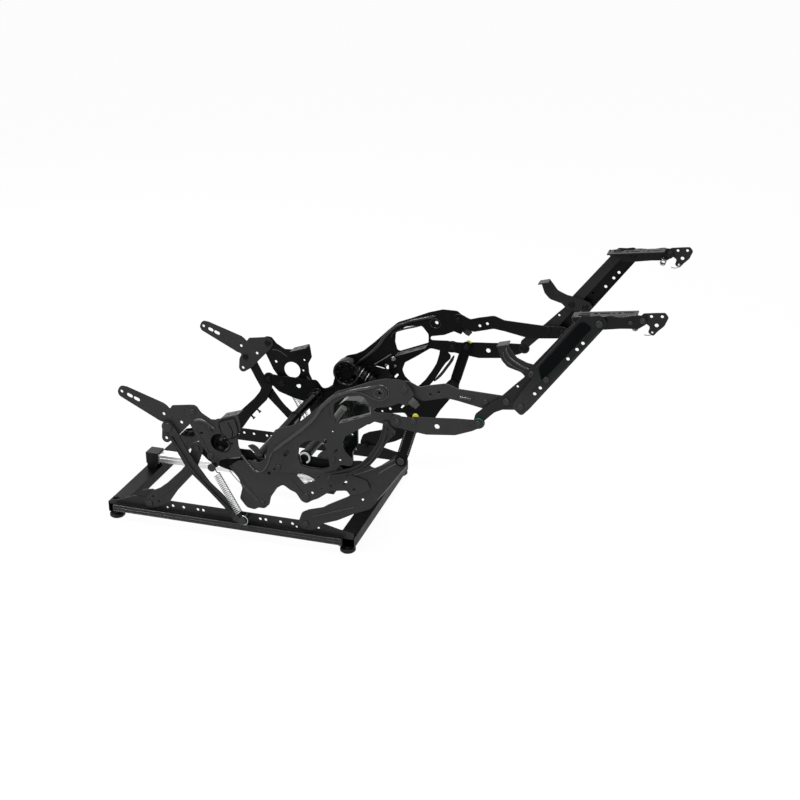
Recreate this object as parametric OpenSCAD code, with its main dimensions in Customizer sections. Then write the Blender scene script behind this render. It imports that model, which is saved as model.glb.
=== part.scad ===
// Power recliner mechanism: base frame, lift links, seat and back plates, footrest linkage,
// linear actuator. Millimetres, floor at z = 0, footrest towards +X, left side +Y.
// All outlines are [x, z, corner radius] in the side view, x from the centre of the glides.

/* [Frame] */
// Distance between the glide centres across the frame
glide_pitch = 450; // [446:1:470]
// Diameter of the round floor glides
glide_d = 40; // [34:1:44]
// Width of the two cross tubes of the base
crossmember_w = 42; // [36:1:46]
// Height of the two cross tubes of the base
crossmember_h = 28; // [24:1:30]
// Height of the upright web of the base rails
web_top = 72; // [70:0.5:74]

/* [Sheet metal] */
// Thickness of the stamped plates and links
sheet = 3; // [2.6:0.1:3.1]
// Diameter of the pivot rivets
pin_d = 10; // [8:0.5:10.5]
// Radial running clearance of the pivots
pin_gap = 0.1; // [0.05:0.01:0.15]
// Diameter of the plain fixing holes
hole_d = 8; // [6:0.5:8.5]
// Height of the pressed beads
bead_h = 1.4; // [0.8:0.1:1.6]

/* [Flanges] */
// Inward width of the seat flanges
seat_flange_w = 28; // [18:1:30]
// Inward width of the footrest flanges
foot_flange_w = 30; // [24:1:32]

/* [Springs] */
// Outside diameter of the extension springs
spring_od = 19.5; // [17:0.5:20]
// Wire diameter of the extension springs
spring_wire = 2.6; // [2:0.1:3]
// Number of turns of the extension springs
spring_turns = 23; // [20:1:24]

/* [Actuator] */
// Width of the aluminium rail of the actuator
rail_w = 32; // [28:1:34]
// Height of the aluminium rail of the actuator
rail_h = 22; // [20:0.5:24]

/* [Hidden] */
$fn = 48;
steps = 5;
x_shift = -363;
side = glide_pitch / 2;
pin_r = pin_d / 2;
hole_r = pin_r + pin_gap;
head_r = pin_r + 3;
rivet_h = 2;

// Inner faces of the sheet layers, measured from the middle plane
y_web = side + 8;
y_inner = side + 8.5;
y_upper = side + 12.5;
y_lift = side + 13.5;
y_mid = side + 16.4;
y_carr = side + 18.2;
y_back = side + 18.5;
y_knee = side + 20.5;
y_toe = side + 22;
y_seat = side + 22.5;
y_out = side + 27;
y_rail = side + 33;
y_spring = side + 41;

// Pivots in the side view
base_rear = [-214, 60];
base_front = [215, 68];
lift_rear = [-70, 236];
lift_front = base_front + lift_rear - base_rear;
curve_base = [36, 64];
spring_top = [-18.8, 204.5];
spring_base = [57, 66];
back_pivot = [-72, 341];
back_link = [-141, 291.5];
boom_tip = [465, 280];
low_pivot = [458, 386];
low_drive = [498, 393];
low_end = [653.7, 405.6];
up_pivot = [475.5, 469];
up_knee = [717, 467.5];
pair = [36, -3];
up_rail = up_knee + pair;
knee_top = [884, 685];
mid_knee = [773.4, 541];
mid_rail = mid_knee + pair;
rail_top = knee_top + pair;
cross_at = [78, 215];
torque_at = [203, 235];
toe_pivot = [1012, 697];
rail_angle = atan2(rail_top[1] - up_rail[1], rail_top[0] - up_rail[0]);

// Points on an arc that rounds the corner b between a and c
function unit(v) = v / norm(v);
function flat(p) = [p[0], p[1]];
function corner(a, b, c) =
    let (u = unit(flat(a) - flat(b)), v = unit(flat(c) - flat(b)))
    let (ang = acos(max(-1, min(1, u * v))))
    let (room = 0.49 * min(norm(flat(a) - flat(b)), norm(flat(c) - flat(b))))
    let (cut = min(b[2] / tan(ang / 2), room), r = cut * tan(ang / 2))
    (b[2] == 0 || ang > 179) ? [flat(b)] :
    let (m = flat(b) + unit(u + v) * r / sin(ang / 2))
    let (p = flat(b) + u * cut - m, q = flat(b) + v * cut - m)
    let (a0 = atan2(p[1], p[0]), d = atan2(q[1], q[0]) - a0)
    let (sweep = d > 180 ? d - 360 : d < -180 ? d + 360 : d)
    [for (i = [0:steps]) m + r * [cos(a0 + sweep * i / steps), sin(a0 + sweep * i / steps)]];
function rounded(p) = [for (i = [0:len(p) - 1])
    each corner(p[(i + len(p) - 1) % len(p)], p[i], p[(i + 1) % len(p)])];
function along(a, b, s, t) = a + s * unit(b - a) + t * [-unit(b - a)[1], unit(b - a)[0]];

module shape(p) {
    polygon(rounded(p));
}

module right() {
    translate([x_shift, 0, 0])
        children();
}

module left() {
    translate([x_shift, 0, 0])
        mirror([0, 1, 0])
            children();
}

// A sheet with its inner face y from the middle plane, on the right side
module sheet_at(y, t = sheet) {
    translate([0, -y, 0])
        rotate([90, 0, 0])
            linear_extrude(t)
                children();
}

// A round pin along y between two distances from the middle plane
module post(p, y0, y1, r) {
    translate([p[0], -y0, p[1]])
        rotate([90, 0, 0])
            cylinder(h = y1 - y0, r = r);
}

module dot(p, r) {
    translate(p)
        circle(r);
}

// A slot of width w and end to end length l, turned by a
module slot(p, l, w, a = 0) {
    translate(p)
        rotate(a) {
            square([l - w, w], center = true);
            translate([(l - w) / 2, 0])
                circle(d = w);
            translate([(w - l) / 2, 0])
                circle(d = w);
        }
}

// Outline of a band of width w along a path, with round ends
function side_way(v) = [-v[1], v[0]] / norm(v);
function mitre(p, i, h) =
    let (n = side_way(p[i] - p[i - 1]), m = side_way(p[i + 1] - p[i]), b = unit(n + m))
    b * h / (b * n);
function cap(c, v, h) =
    let (a = atan2(v[1], v[0]))
    [for (i = [0:8]) c + h * [cos(a + 90 - i * 22.5), sin(a + 90 - i * 22.5)]];
function band(p, w) =
    let (h = w / 2, n = len(p) - 1)
    concat(cap(p[n], p[n] - p[n - 1], h),
           n > 1 ? [for (i = [n - 1:-1:1]) p[i] - mitre(p, i, h)] : [],
           cap(p[0], p[0] - p[1], h),
           n > 1 ? [for (i = [1:n - 1]) p[i] + mitre(p, i, h)] : []);

module stroke(p, w) {
    polygon(band(p, w));
}

// A pressed bead on the outer face at distance y
module bead(y, p, w) {
    sheet_at(y - 0.2, bead_h * 0.55 + 0.2)
        stroke(p, w);
    sheet_at(y - 0.2, bead_h + 0.2)
        stroke(p, w - 2.4);
}

// ---- Base frame, standing on the floor ----

module crossmember(x, w) {
    z1 = web_top - 30;
    difference() {
        translate([x, -y_web, z1 - crossmember_h])
            cube([w, 2 * y_web, crossmember_h]);
        translate([x + 2, -y_web - 1, z1 - crossmember_h + 2])
            cube([w - 4, 2 * y_web + 2, crossmember_h - 4]);
    }
}

// Corner plate with two bolt heads on a cross tube
module corner_plate(x, l) {
    z = web_top - 30;
    translate([x, -y_web, z])
        cube([l, 30, 2.5]);
    for (i = [0.28, 0.72])
        translate([x + l * i, -y_web + 18, z + 2.5])
            cylinder(h = 4, r = 5.5, $fn = 24);
}

module rear_crossmember() {
    color("#101112")
        right() {
            crossmember(-340, crossmember_w);
            corner_plate(-338, crossmember_w - 4);
            mirror([0, 1, 0])
                corner_plate(-338, crossmember_w - 4);
        }
}

module front_crossmember() {
    color("#101112")
        right() {
            crossmember(340 - crossmember_w, crossmember_w);
            corner_plate(342 - crossmember_w, crossmember_w - 4);
            mirror([0, 1, 0])
                corner_plate(342 - crossmember_w, crossmember_w - 4);
        }
}

module glide(x, s) {
    top = web_top - 30 - crossmember_h;
    color("#17181a")
        right()
            translate([x, s * side, 0]) {
                rotate_extrude()
                    polygon([[0, 0], [glide_d / 2 - 3, 0], [glide_d / 2, 3], [glide_d / 2, 9],
                             [glide_d / 2 - 2, 11], [9, 11], [9, top], [0, top]]);
            }
}

module glide_rear_right() {
    glide(-320, -1);
}

module glide_rear_left() {
    glide(-320, 1);
}

module glide_front_right() {
    glide(320, -1);
}

module glide_front_left() {
    glide(320, 1);
}

module base_rail() {
    z1 = web_top - 30;
    y_lip = y_web + 15;
    difference() {
        sheet_at(y_web)
            shape([[-338, z1 - 3, 0], [-338, z1 + 4, 4], [-300, z1 + 14, 6], [-262, web_top, 10],
                   [258, web_top, 20], [302, z1 + 20, 20], [338, z1 + 15, 3], [338, z1 - 3, 0]]);
        sheet_at(y_web - 1, sheet + 2) {
            for (x = [-185, -152, -122, -82, -67, 90, 105, 145, 177, 246])
                dot([x, 59], hole_d / 2);
            for (x = [-168, 188])
                dot([x, 52], hole_d / 2 - 1);
        }
    }
    translate([-318, -y_lip, z1 - 3])
        cube([632, y_lip - y_web, sheet]);
    translate([-318, -y_lip - sheet, z1 - 15])
        cube([632, sheet, 15]);
    // Gusset that stiffens the rail beside the rear lift link
    sheet_at(y_web - sheet, sheet + 0.5)
        shape([[-290, 44, 0], [-288, 58, 6], [-258, 70, 6], [-236, 92, 6], [-206, 98, 8],
               [-186, 78, 6], [-176, 44, 0]]);
    for (p = [base_rear, base_front]) {
        post(p, y_web - sheet - 2.5, y_web + 1, head_r);
        post(p, y_web + 0.5, y_lift - 0.3, head_r);
        post(p, y_web + 0.5, y_lift + sheet + 1, pin_r);
        post(p, y_lift + sheet + 0.4, y_lift + sheet + 0.4 + rivet_h, head_r);
    }
    post(curve_base, y_web - 2.5, y_web + 1, head_r);
    post(curve_base, y_web + 0.5, y_out - 0.3, head_r);
    post(curve_base, y_web + 0.5, y_out + sheet + 1, pin_r);
    post(curve_base, y_out + sheet + 0.4, y_out + sheet + 0.4 + rivet_h, head_r);
    // Lower spring pin
    post(spring_base, y_web + 0.5, y_spring + 5, 4);
    post(spring_base, y_web + 0.5, y_spring - 6, 5);
    post(spring_base, y_spring + 3, y_spring + 7, 10);
}

module base_rail_right() {
    color("#232427")
        right()
            base_rail();
}

module base_rail_left() {
    color("#232427")
        left()
            base_rail();
}

// ---- Lift links and curved links ----

module rear_lift(studs = false) {
    difference() {
        union() {
            sheet_at(y_lift) {
                shape([[-229, 70, 10], [-206, 97, 14], [-182, 109, 20], [-160, 127, 30],
                       [-118, 169, 30], [-100, 192, 30], [-86, 232, 8], [-54, 234, 8],
                       [-64, 206, 20], [-80, 168, 20], [-98, 149, 12], [-132, 110, 12],
                       [-158, 72, 14], [-196, 50, 10]]);
                dot(base_rear, 15);
                dot(lift_rear, 17);
            }
            bead(y_lift + sheet, [[-184, 86], [-148, 116], [-106, 162], [-86, 200]], 8);
            // Turned edge, on one side with two stop studs
            translate([-132, -y_lift - 1, 110])
                rotate([0, -48.9, 0]) {
                    cube([50, 10, 3]);
                    if (studs)
                        for (x = [8, 37])
                            translate([x, 5.5, -12]) {
                                cylinder(h = 13, r = 2.6, $fn = 24);
                                cylinder(h = 4, r = 4.4, $fn = 24);
                            }
                }
        }
        sheet_at(y_lift - 1, sheet + 4) {
            dot(base_rear, hole_r);
            dot(lift_rear, hole_r);
            dot([-204, 82], 2.6);
            dot([-188, 70], 2.6);
        }
    }
}

module rear_lift_right() {
    color("#1b1c1e")
        right()
            rear_lift();
}

module rear_lift_left() {
    color("#1b1c1e")
        left()
            rear_lift(true);
}

module front_lift() {
    difference() {
        union() {
            sheet_at(y_lift) {
                shape([[197, 74, 14], [206, 99, 12], [224, 109, 12], [262, 121, 20],
                       [278, 132, 16], [332, 163, 20], [342, 190, 20], [337, 236, 14],
                       [346, 262, 12], [374, 262, 12], [396, 244, 20], [440, 279, 20],
                       [455, 296, 10], [474, 294, 10], [482, 272, 10], [464, 250, 16],
                       [430, 203, 16], [408, 165, 20], [386, 136, 20], [345, 117, 20],
                       [300, 91, 20], [262, 76, 20], [238, 54, 10], [214, 50, 10]]);
                dot(base_front, 17);
            }
            bead(y_lift + sheet, [[240, 94], [345, 134]], 6);
            bead(y_lift + sheet, [[404, 232], [457, 270]], 6);
            post(boom_tip, y_lift - rivet_h, y_lift + 0.5, head_r);
            post(boom_tip, y_lift + 2, y_back + sheet + 1, pin_r);
            post(boom_tip, y_lift + sheet - 0.5, y_back - 0.3, head_r);
            post(boom_tip, y_back + sheet + 0.4, y_back + sheet + 0.4 + rivet_h, head_r + 1);
        }
        sheet_at(y_lift - 1, sheet + 4) {
            dot(base_front, hole_r);
            dot(lift_front, hole_r + 0.3);
            dot([367, 158], hole_d / 2);
            dot([363, 210], 4);
            slot([322, 201], 20, 5, 50);
        }
    }
}

module front_lift_right() {
    color("#2c2d30")
        right()
            front_lift();
}

module front_lift_left() {
    color("#2c2d30")
        left()
            front_lift();
}

module curved_link() {
    difference() {
        union() {
            sheet_at(y_out) {
                shape([[-152, 282, 10], [-131, 258, 30], [-120, 232, 60], [-93, 182, 90],
                       [-49, 139, 90], [4, 86, 40], [25, 55, 8], [48, 72, 12], [22, 101, 40],
                       [-4, 127, 90], [-34, 153, 90], [-64, 194, 90], [-95, 244, 40],
                       [-112, 278, 30], [-130, 304, 14]]);
                dot(back_link, 16);
                dot(curve_base, 14);
            }
            // Turned edge of the channel, along the inside of the curve
            bead(y_out + sheet, [[-122, 268], [-107, 236], [-78, 187], [-42, 146],
                                 [0, 107], [24, 82]], 6);
        }
        sheet_at(y_out - 1, sheet + 4) {
            dot(curve_base, hole_r);
            dot(back_link, pin_r + 5);
        }
    }
}

module curved_link_right() {
    color("#27282b")
        right()
            curved_link();
}

module curved_link_left() {
    color("#27282b")
        left()
            curved_link();
}

// ---- Carriage: the plates that ride on the lift links ----

tube_opening = [[203, 256, 14], [206, 284, 14], [222, 299, 14], [246, 308, 14], [270, 304, 12],
                [279, 284, 12], [284, 258, 12], [286, 238, 8], [264, 230, 12], [230, 230, 12],
                [212, 234, 12]];

module carriage_plate() {
    difference() {
        union() {
            sheet_at(y_carr)
                shape([[22, 206, 8], [43, 168, 8], [50, 146, 8], [42, 116, 8], [60, 93, 14],
                       [80, 90, 10], [92, 97, 8], [108, 97, 12], [121, 110, 10], [126, 132, 14],
                       [144, 160, 14], [160, 172, 10], [178, 160, 12], [194, 154, 12],
                       [207, 134, 10], [220, 128, 12], [236, 139, 10], [252, 147, 20],
                       [286, 173, 30], [328, 180, 14], [334, 168, 6], [372, 182, 10],
                       [388, 194, 8], [380, 212, 10], [330, 226, 12], [300, 252, 12],
                       [292, 292, 20], [196, 292, 20], [140, 262, 20], [116, 236, 10],
                       [96, 222, 16], [72, 226, 10], [44, 222, 8]]);
            bead(y_carr + sheet, [[22, 202], [88, 122]], 7);
            bead(y_carr + sheet, [[184, 186], [210, 158]], 6);
            post([103, 112], y_carr + 1, y_carr + sheet + rivet_h, head_r - 1);
            post([220, 147], y_carr + 1, y_carr + sheet + rivet_h, head_r + 1);
        }
        sheet_at(y_carr - 1, sheet + 4) {
            shape([[196, 202, 4], [206, 212, 4], [228, 206, 4], [248, 196, 3], [216, 181, 4]]);
            dot([237, 160], 3.5);
            dot([262, 176], 3);
            dot([285, 186], 4);
            slot([322, 199], 18, 5, 50);
            dot([254, 205], 3.2);
            dot([124, 198], 4);
            dot([346, 186], 3.5);
            shape(tube_opening);
        }
    }
    // Spacers to the plate behind
    for (p = [cross_at + [6, 4], [310, 214]])
        post(p, y_inner + sheet, y_carr, 7);
}

module carriage_plate_right() {
    color("#2a2b2e")
        right()
            carriage_plate();
}

module carriage_plate_left() {
    color("#2a2b2e")
        left()
            carriage_plate();
}

// Long inner plate that carries the lift pivots and the cross tubes
module inner_plate(tab = false) {
    difference() {
        sheet_at(y_inner) {
            // Stiffener behind the round hole of the rear seat plate
            if (tab)
                shape([[-44, 236, 4], [-46, 268, 10], [-34, 296, 10], [24, 300, 10],
                       [34, 284, 10], [36, 236, 4]]);
            shape([[-72, 252, 8], [-40, 250, 10], [56, 249, 12], [74, 250, 12], [92, 226, 10],
                   [130, 240, 20], [200, 256, 20], [300, 252, 20], [360, 260, 10],
                   [372, 236, 10], [350, 227, 10], [288, 206, 20], [204, 204, 20],
                   [120, 190, 20], [60, 176, 20], [0, 189, 20], [-40, 202, 14], [-62, 222, 8]]);
            dot(lift_rear, 16);
            dot(lift_front, 16);
        }
        sheet_at(y_inner - 1, sheet + 2) {
            if (tab)
                dot([4, 276], 5);
            dot([20, 226], 7);
            slot([150, 214], 30, 9, 10);
        }
    }
    for (p = [lift_rear, lift_front]) {
        post(p, y_inner - rivet_h, y_inner + 0.5, head_r);
        post(p, y_inner + 2, y_lift + sheet + 1, pin_r);
        post(p, y_inner + sheet - 0.5, y_lift - 0.3, head_r - 1);
        post(p, y_lift + sheet + 0.3, y_lift + sheet + 0.3 + rivet_h - 0.4, head_r - 1);
    }
    post([-29.5, 227], y_inner - rivet_h, y_inner + 0.5, head_r + 1);
    // Stand-off to the rear seat plate
    post([-29.5, 227], y_inner + sheet - 0.5, y_seat, 7);
}

module inner_plate_right() {
    color("#161719")
        right()
            inner_plate(true);
}

module inner_plate_left() {
    color("#161719")
        left()
            inner_plate();
}

module seat_rear() {
    difference() {
        union() {
            sheet_at(y_seat) {
                shape([[-89, 350, 10], [-78, 358, 10], [-62, 357, 8], [-48, 340, 6],
                       [-24, 326, 8], [-2, 327, 4], [4, 333, 2], [50, 349, 2], [53, 333, 4],
                       [56, 311, 4], [45, 290, 6], [47, 262, 6], [55, 244, 6], [50, 231, 6],
                       [18, 226, 10], [-6, 216, 8], [-9, 200, 6], [-26, 196, 6],
                       [-32, 222, 14], [-46, 243, 20], [-60, 262, 20], [-79, 303, 14],
                       [-90, 320, 12]]);
                dot(spring_top, 9);
                dot(back_pivot, 17);
            }
            bead(y_seat + sheet, [[-68, 318], [-50, 319], [-22, 303]], 8);
            bead(y_seat + sheet, [[-64, 292], [-28, 222]], 6);
            // Seat flange, turned inwards along the top edge
            translate([4, -y_seat - 0.5, 333])
                rotate([0, -18.5, 0])
                    translate([0, 0, -sheet])
                        cube([48, seat_flange_w + 4, sheet]);
            post(back_pivot, y_seat + 1, y_seat + sheet + rivet_h, head_r);
            post(back_pivot, y_seat - 0.7, y_seat + 1, head_r);
            post(back_pivot, y_back - 0.6, y_seat + 1, pin_r);
            post(back_pivot, y_back - 0.3 - rivet_h, y_back - 0.3, head_r);
            post(spring_top, y_seat + 1, y_spring + 5, 4);
            post(spring_top, y_seat + 1, y_spring - 6, 5);
            post(spring_top, y_spring + 3, y_spring + 7, 10);
            post([-29.5, 227], y_seat + 1, y_seat + sheet + rivet_h, head_r);
        }
        sheet_at(y_seat - 1, sheet + 4) {
            dot([-3, 266], 24);
            dot([-50.8, 285.6], hole_d / 2);
            dot([34, 300], 3);
            dot([30, 268], 3);
        }
        translate([4, -y_seat, 333])
            rotate([0, -18.5, 0])
                for (x = [14, 34])
                    translate([x, seat_flange_w * 0.55, -sheet - 1])
                        cylinder(h = sheet + 2, r = hole_d / 2 - 1);
    }
}

module seat_rear_right() {
    color("#2d2e31")
        right()
            seat_rear();
}

module seat_rear_left() {
    color("#2d2e31")
        left()
            seat_rear();
}

seat_top = [[141, 264], [192, 310], [234, 352], [258, 384], [278, 409], [306, 432], [345, 449],
            [379, 461], [414, 467]];

module seat_front() {
    difference() {
        union() {
            sheet_at(y_seat)
                shape([[96, 206, 8], [114, 228, 14], [122, 256, 30], [130, 290, 20],
                       [142, 313, 14], [160, 328, 16], [186, 336, 30], [208, 348, 30],
                       [240, 377, 40], [279, 416, 30], [306, 441, 30], [345, 457, 40],
                       [392, 478, 40], [430, 490, 30], [470, 490, 14], [489, 475, 14],
                       [498, 460, 5],
                       [480, 426, 4], [462, 432, 6], [436, 419, 16], [398, 411, 6],
                       [397, 400, 5], [418, 401, 10], [445, 403, 14], [466, 400, 12],
                       [474, 386, 12], [464, 371, 12], [440, 371, 14], [398, 377, 14],
                       [358, 348, 20], [326, 327, 10], [318, 304, 14], [326, 286, 14],
                       [348, 266, 10], [342, 250, 8], [312, 250, 10], [300, 228, 12],
                       [262, 221, 20], [200, 212, 30], [150, 206, 20]]);
            bead(y_seat + sheet, seat_top, 9);
            // Pressed boss around the front fixing hole
            post([414, 451], y_seat + 1, y_seat + sheet + bead_h + 0.6, 20);
            bead(y_seat + sheet, [[286, 400], [287, 372]], 5);
            // Slotted seat flange, turned inwards above the lower bar
            translate([306, -y_seat - 0.5, 354])
                rotate([0, -21.5, 0])
                    translate([0, 0, -sheet])
                        cube([92, seat_flange_w + 4, sheet]);
            // Stop tab for the upper footrest link
            translate([482, -y_seat - 0.5, 428])
                rotate([0, -62, 0])
                    translate([0, 0, -1])
                        cube([28, 6, sheet]);
            // Footrest link pivots
            post(low_pivot, y_seat - rivet_h, y_seat + 1, head_r);
            post(low_pivot, y_seat + 1, y_out - 0.3, head_r);
            post(low_pivot, y_seat + 1, y_out + sheet + 1, pin_r);
            post(low_pivot, y_out + sheet + 0.3, y_out + sheet + 0.3 + rivet_h, head_r);
            post(up_pivot, y_seat + 1, y_seat + sheet + rivet_h, head_r);
            post(up_pivot, y_upper + sheet + 0.3, y_seat + 1, head_r);
            post(up_pivot, y_upper - 1, y_seat + 1, pin_r);
            post(up_pivot, y_upper - 0.3 - rivet_h, y_upper - 0.3, head_r);
            // Rivets and spacers to the carriage plate
            for (p = [[128, 218], [152, 221], [296, 262], [112, 214]])
                post(p, y_carr + sheet, y_seat + 1, 6);
            for (p = [[152, 221], [296, 262]])
                post(p, y_seat + 1, y_seat + sheet + rivet_h, 6);
        }
        sheet_at(y_seat - 1, sheet + 5) {
            shape([[298, 384, 12], [300, 410, 10], [328, 431, 24], [372, 440, 16],
                   [392, 416, 14], [392, 392, 6], [312, 359, 4], [304, 362, 5]]);
            shape(tube_opening);
            dot([414, 451], hole_d / 2 + 1);
            slot([174, 262], 22, 9, 55);
            slot([302, 285], 16, 6, 50);
            slot([276, 308], 14, 8, 90);
            dot([294, 337], 3);
            dot([313, 262], 3);
            dot([141, 206 + 8], 3);
        }
        translate([306, -y_seat, 354])
            rotate([0, -21.5, 0]) {
                for (x = [16, 46, 76])
                    translate([x - 8, seat_flange_w * 0.45, -sheet - 1])
                        cube([16, 6, sheet + 2]);
            }
    }
}

module seat_front_right() {
    color("#2d2e31")
        right()
            seat_front();
}

module seat_front_left() {
    color("#2d2e31")
        left()
            seat_front();
}

// Bent channel that braces the front of the seat plate down to the carriage plate
module brace() {
    difference() {
        union() {
            sheet_at(y_out - 0.5)
                shape([[438, 383, 5], [424, 383, 6], [421, 360, 20], [414, 334, 30],
                       [401, 310, 30], [383, 282, 30], [365, 262, 30], [338, 246, 30],
                       [300, 232, 20], [272, 222, 8], [276, 204, 8], [332, 222, 30],
                       [364, 243, 30], [388, 258, 30], [409, 285, 30], [428, 319, 30],
                       [440, 338, 20], [452, 350, 8], [453, 361, 6], [441, 372, 6]]);
            sheet_at(y_out + sheet - 0.6, 4)
                stroke([[434, 362], [426, 334], [411, 306], [392, 275], [370, 254], [338, 234],
                        [292, 221]], 4);
            sheet_at(y_out + sheet - 0.6, 3)
                stroke([[446, 352], [420, 316], [400, 284]], 3);
            post([431, 376], y_seat + sheet, y_out + sheet + 1.5, 5);
            post([284, 213], y_carr + sheet, y_out + sheet + 1.5, 6);
        }
    }
}

module brace_right() {
    color("#2b2c30")
        right()
            brace();
}

module brace_left() {
    color("#2b2c30")
        left()
            brace();
}

module cross_tube() {
    color("#131416")
        right()
            difference() {
                union() {
                    post(cross_at, -y_inner, y_inner, 12.5);
                    // Lever that the actuator pushes
                    for (y = [-14, 8])
                        sheet_at(y, 6)
                            shape([[60, 200, 6], [60, 160, 10], [84, 150, 10], [96, 214, 12],
                                   [78, 226, 10]]);
                    post([72, 165], -14, 14, 5);
                }
                post(cross_at, -y_inner - 1, y_inner + 1, 10.5);
            }
}

module torque_tube() {
    color("#131416")
        right() {
            post(torque_at, -y_inner, y_inner, 12.5);
            for (s = [-1, 1])
                post(torque_at, s > 0 ? y_inner + sheet : -y_inner - sheet - 4,
                     s > 0 ? y_inner + sheet + 4 : -y_inner - sheet, 9);
        }
}

// Zinc spring clip on the end of the torque tube
module clip() {
    difference() {
        sheet_at(y_inner + sheet + 4, 2.5)
            translate([218, 252])
                difference() {
                    circle(15);
                    circle(10.5);
                    rotate(200)
                        square([30, 30]);
                }
    }
}

module clip_right() {
    color("#d9dbde")
        right() {
            clip();
            sheet_at(y_inner + sheet + 4, 2.5)
                stroke([[208, 237], [206, 248]], 5);
        }
}

module clip_left() {
    color("#d9dbde")
        left() {
            clip();
            sheet_at(y_inner + sheet + 4, 2.5)
                stroke([[208, 237], [206, 248]], 5);
        }
}

// ---- Back plates ----

module back_plate() {
    difference() {
        union() {
            sheet_at(y_back) {
                shape([[-277, 368, 14], [-268, 386, 12], [-250, 384, 12], [-152, 352, 8],
                       [-143, 346, 4], [-136, 338, 3], [-128, 349, 4], [-108, 352, 10],
                       [-76, 357, 8], [-58, 344, 10], [-62, 326, 10], [-100, 286, 20],
                       [-122, 262, 10], [-136, 252, 6], [-150, 244, 10], [-163, 252, 10],
                       [-160, 284, 20], [-152, 299, 4], [-166, 303, 8], [-272, 357, 10]]);
                dot(back_pivot, 16);
                dot([-150.3, 257], 12);
            }
            post(back_link, y_back - rivet_h, y_back + 1, head_r);
            post(back_link, y_back + sheet - 0.5, y_out - 0.3, head_r);
            post(back_link, y_back + 1, y_out + sheet + 1, pin_r);
            post(back_link, y_out + sheet + 0.3, y_out + sheet + 0.3 + rivet_h, head_r + 4);
        }
        sheet_at(y_back - 1, sheet + 2) {
            dot(back_pivot, hole_r);
            dot([-264.9, 370], hole_d / 2 + 0.2);
            slot([-243.5, 361.4], 17, 10, -21);
            slot([-224.8, 354], 18, 10, -21);
            dot([-152.8, 322.9], hole_d / 2 + 0.2);
            dot([-105.6, 305.9], hole_d / 2 + 0.2);
            dot([-150.3, 257], hole_d / 2 + 0.2);
        }
    }
}

module back_plate_right() {
    color("#2b2c2f")
        right()
            back_plate();
}

module back_plate_left() {
    color("#2b2c2f")
        left()
            back_plate();
}

// ---- Footrest linkage ----

module lower_link() {
    difference() {
        union() {
            sheet_at(y_out) {
                shape([[450, 400, 10], [480, 400, 20], [520, 405, 20], [560, 408, 40],
                       [600, 412, 20], [640, 414, 10], [656, 411, 8], [660, 400, 8],
                       [652, 393, 10], [640, 386, 20], [600, 370, 30], [530, 362, 30],
                       [470, 369, 20], [450, 372, 10]]);
                dot(low_pivot, 16);
                dot(low_end, 12);
            }
            // Pivot for the drive channel, behind
            post(low_drive, y_out + 1, y_out + sheet + rivet_h, head_r);
            post(low_drive, y_back - 0.6, y_out + 1, pin_r);
            post(low_drive, y_back + sheet + 0.3, y_out + 1, head_r - 1);
            post(low_drive, y_back - 0.3 - rivet_h, y_back - 0.3, head_r);
            // Pivot for the knee link, behind
            post(low_end, y_out + 1, y_out + sheet + rivet_h, head_r);
            post(low_end, y_knee - 0.6, y_out + 1, pin_r);
            post(low_end, y_knee - 0.3 - rivet_h, y_knee - 0.3, head_r + 2);
        }
        sheet_at(y_out - 1, sheet + 2) {
            dot(low_pivot, hole_r);
            dot([555.6, 386], 6.2);
        }
    }
}

module lower_link_right() {
    color("#2a2b2d")
        right()
            lower_link();
}

module lower_link_left() {
    color("#2a2b2d")
        left()
            lower_link();
}

// Plastic washers on the lower link
module knee_washer() {
    difference() {
        post(low_end, y_knee + sheet + 0.3, y_out, 12.5);
        post(low_end, y_knee, y_out + 1, pin_r);
    }
}

module drive_washer() {
    difference() {
        post(low_drive + [4, 10], y_back + sheet + 1.5, y_out, 7);
        post(low_drive, y_back, y_out + 1, head_r - 1);
    }
}

module knee_washer_right() {
    color("#1d7a4c")
        right()
            knee_washer();
}

module knee_washer_left() {
    color("#1d7a4c")
        left()
            knee_washer();
}

module drive_washer_right() {
    color("#c8b81e")
        right()
            drive_washer();
}

module drive_washer_left() {
    color("#c8b81e")
        left()
            drive_washer();
}

// Channel between the front lift link and the lower footrest link
module drive_channel() {
    difference() {
        union() {
            sheet_at(y_back) {
                stroke([boom_tip, low_drive], 27);
                dot(boom_tip, 14.5);
                dot(low_drive, 14.5);
            }
            for (t = [-12, 9.5])
                sheet_at(y_back - 5, 6)
                    polygon([along(boom_tip, low_drive, 26, t),
                             along(boom_tip, low_drive, 94, t),
                             along(boom_tip, low_drive, 94, t + 2.5),
                             along(boom_tip, low_drive, 26, t + 2.5)]);
        }
        sheet_at(y_back - 1, sheet + 2) {
            dot(low_drive, hole_r);
            dot(boom_tip, pin_r + 1.6);
        }
    }
}

module drive_channel_right() {
    color("#141517")
        right()
            drive_channel();
}

module drive_channel_left() {
    color("#141517")
        left()
            drive_channel();
}

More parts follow.
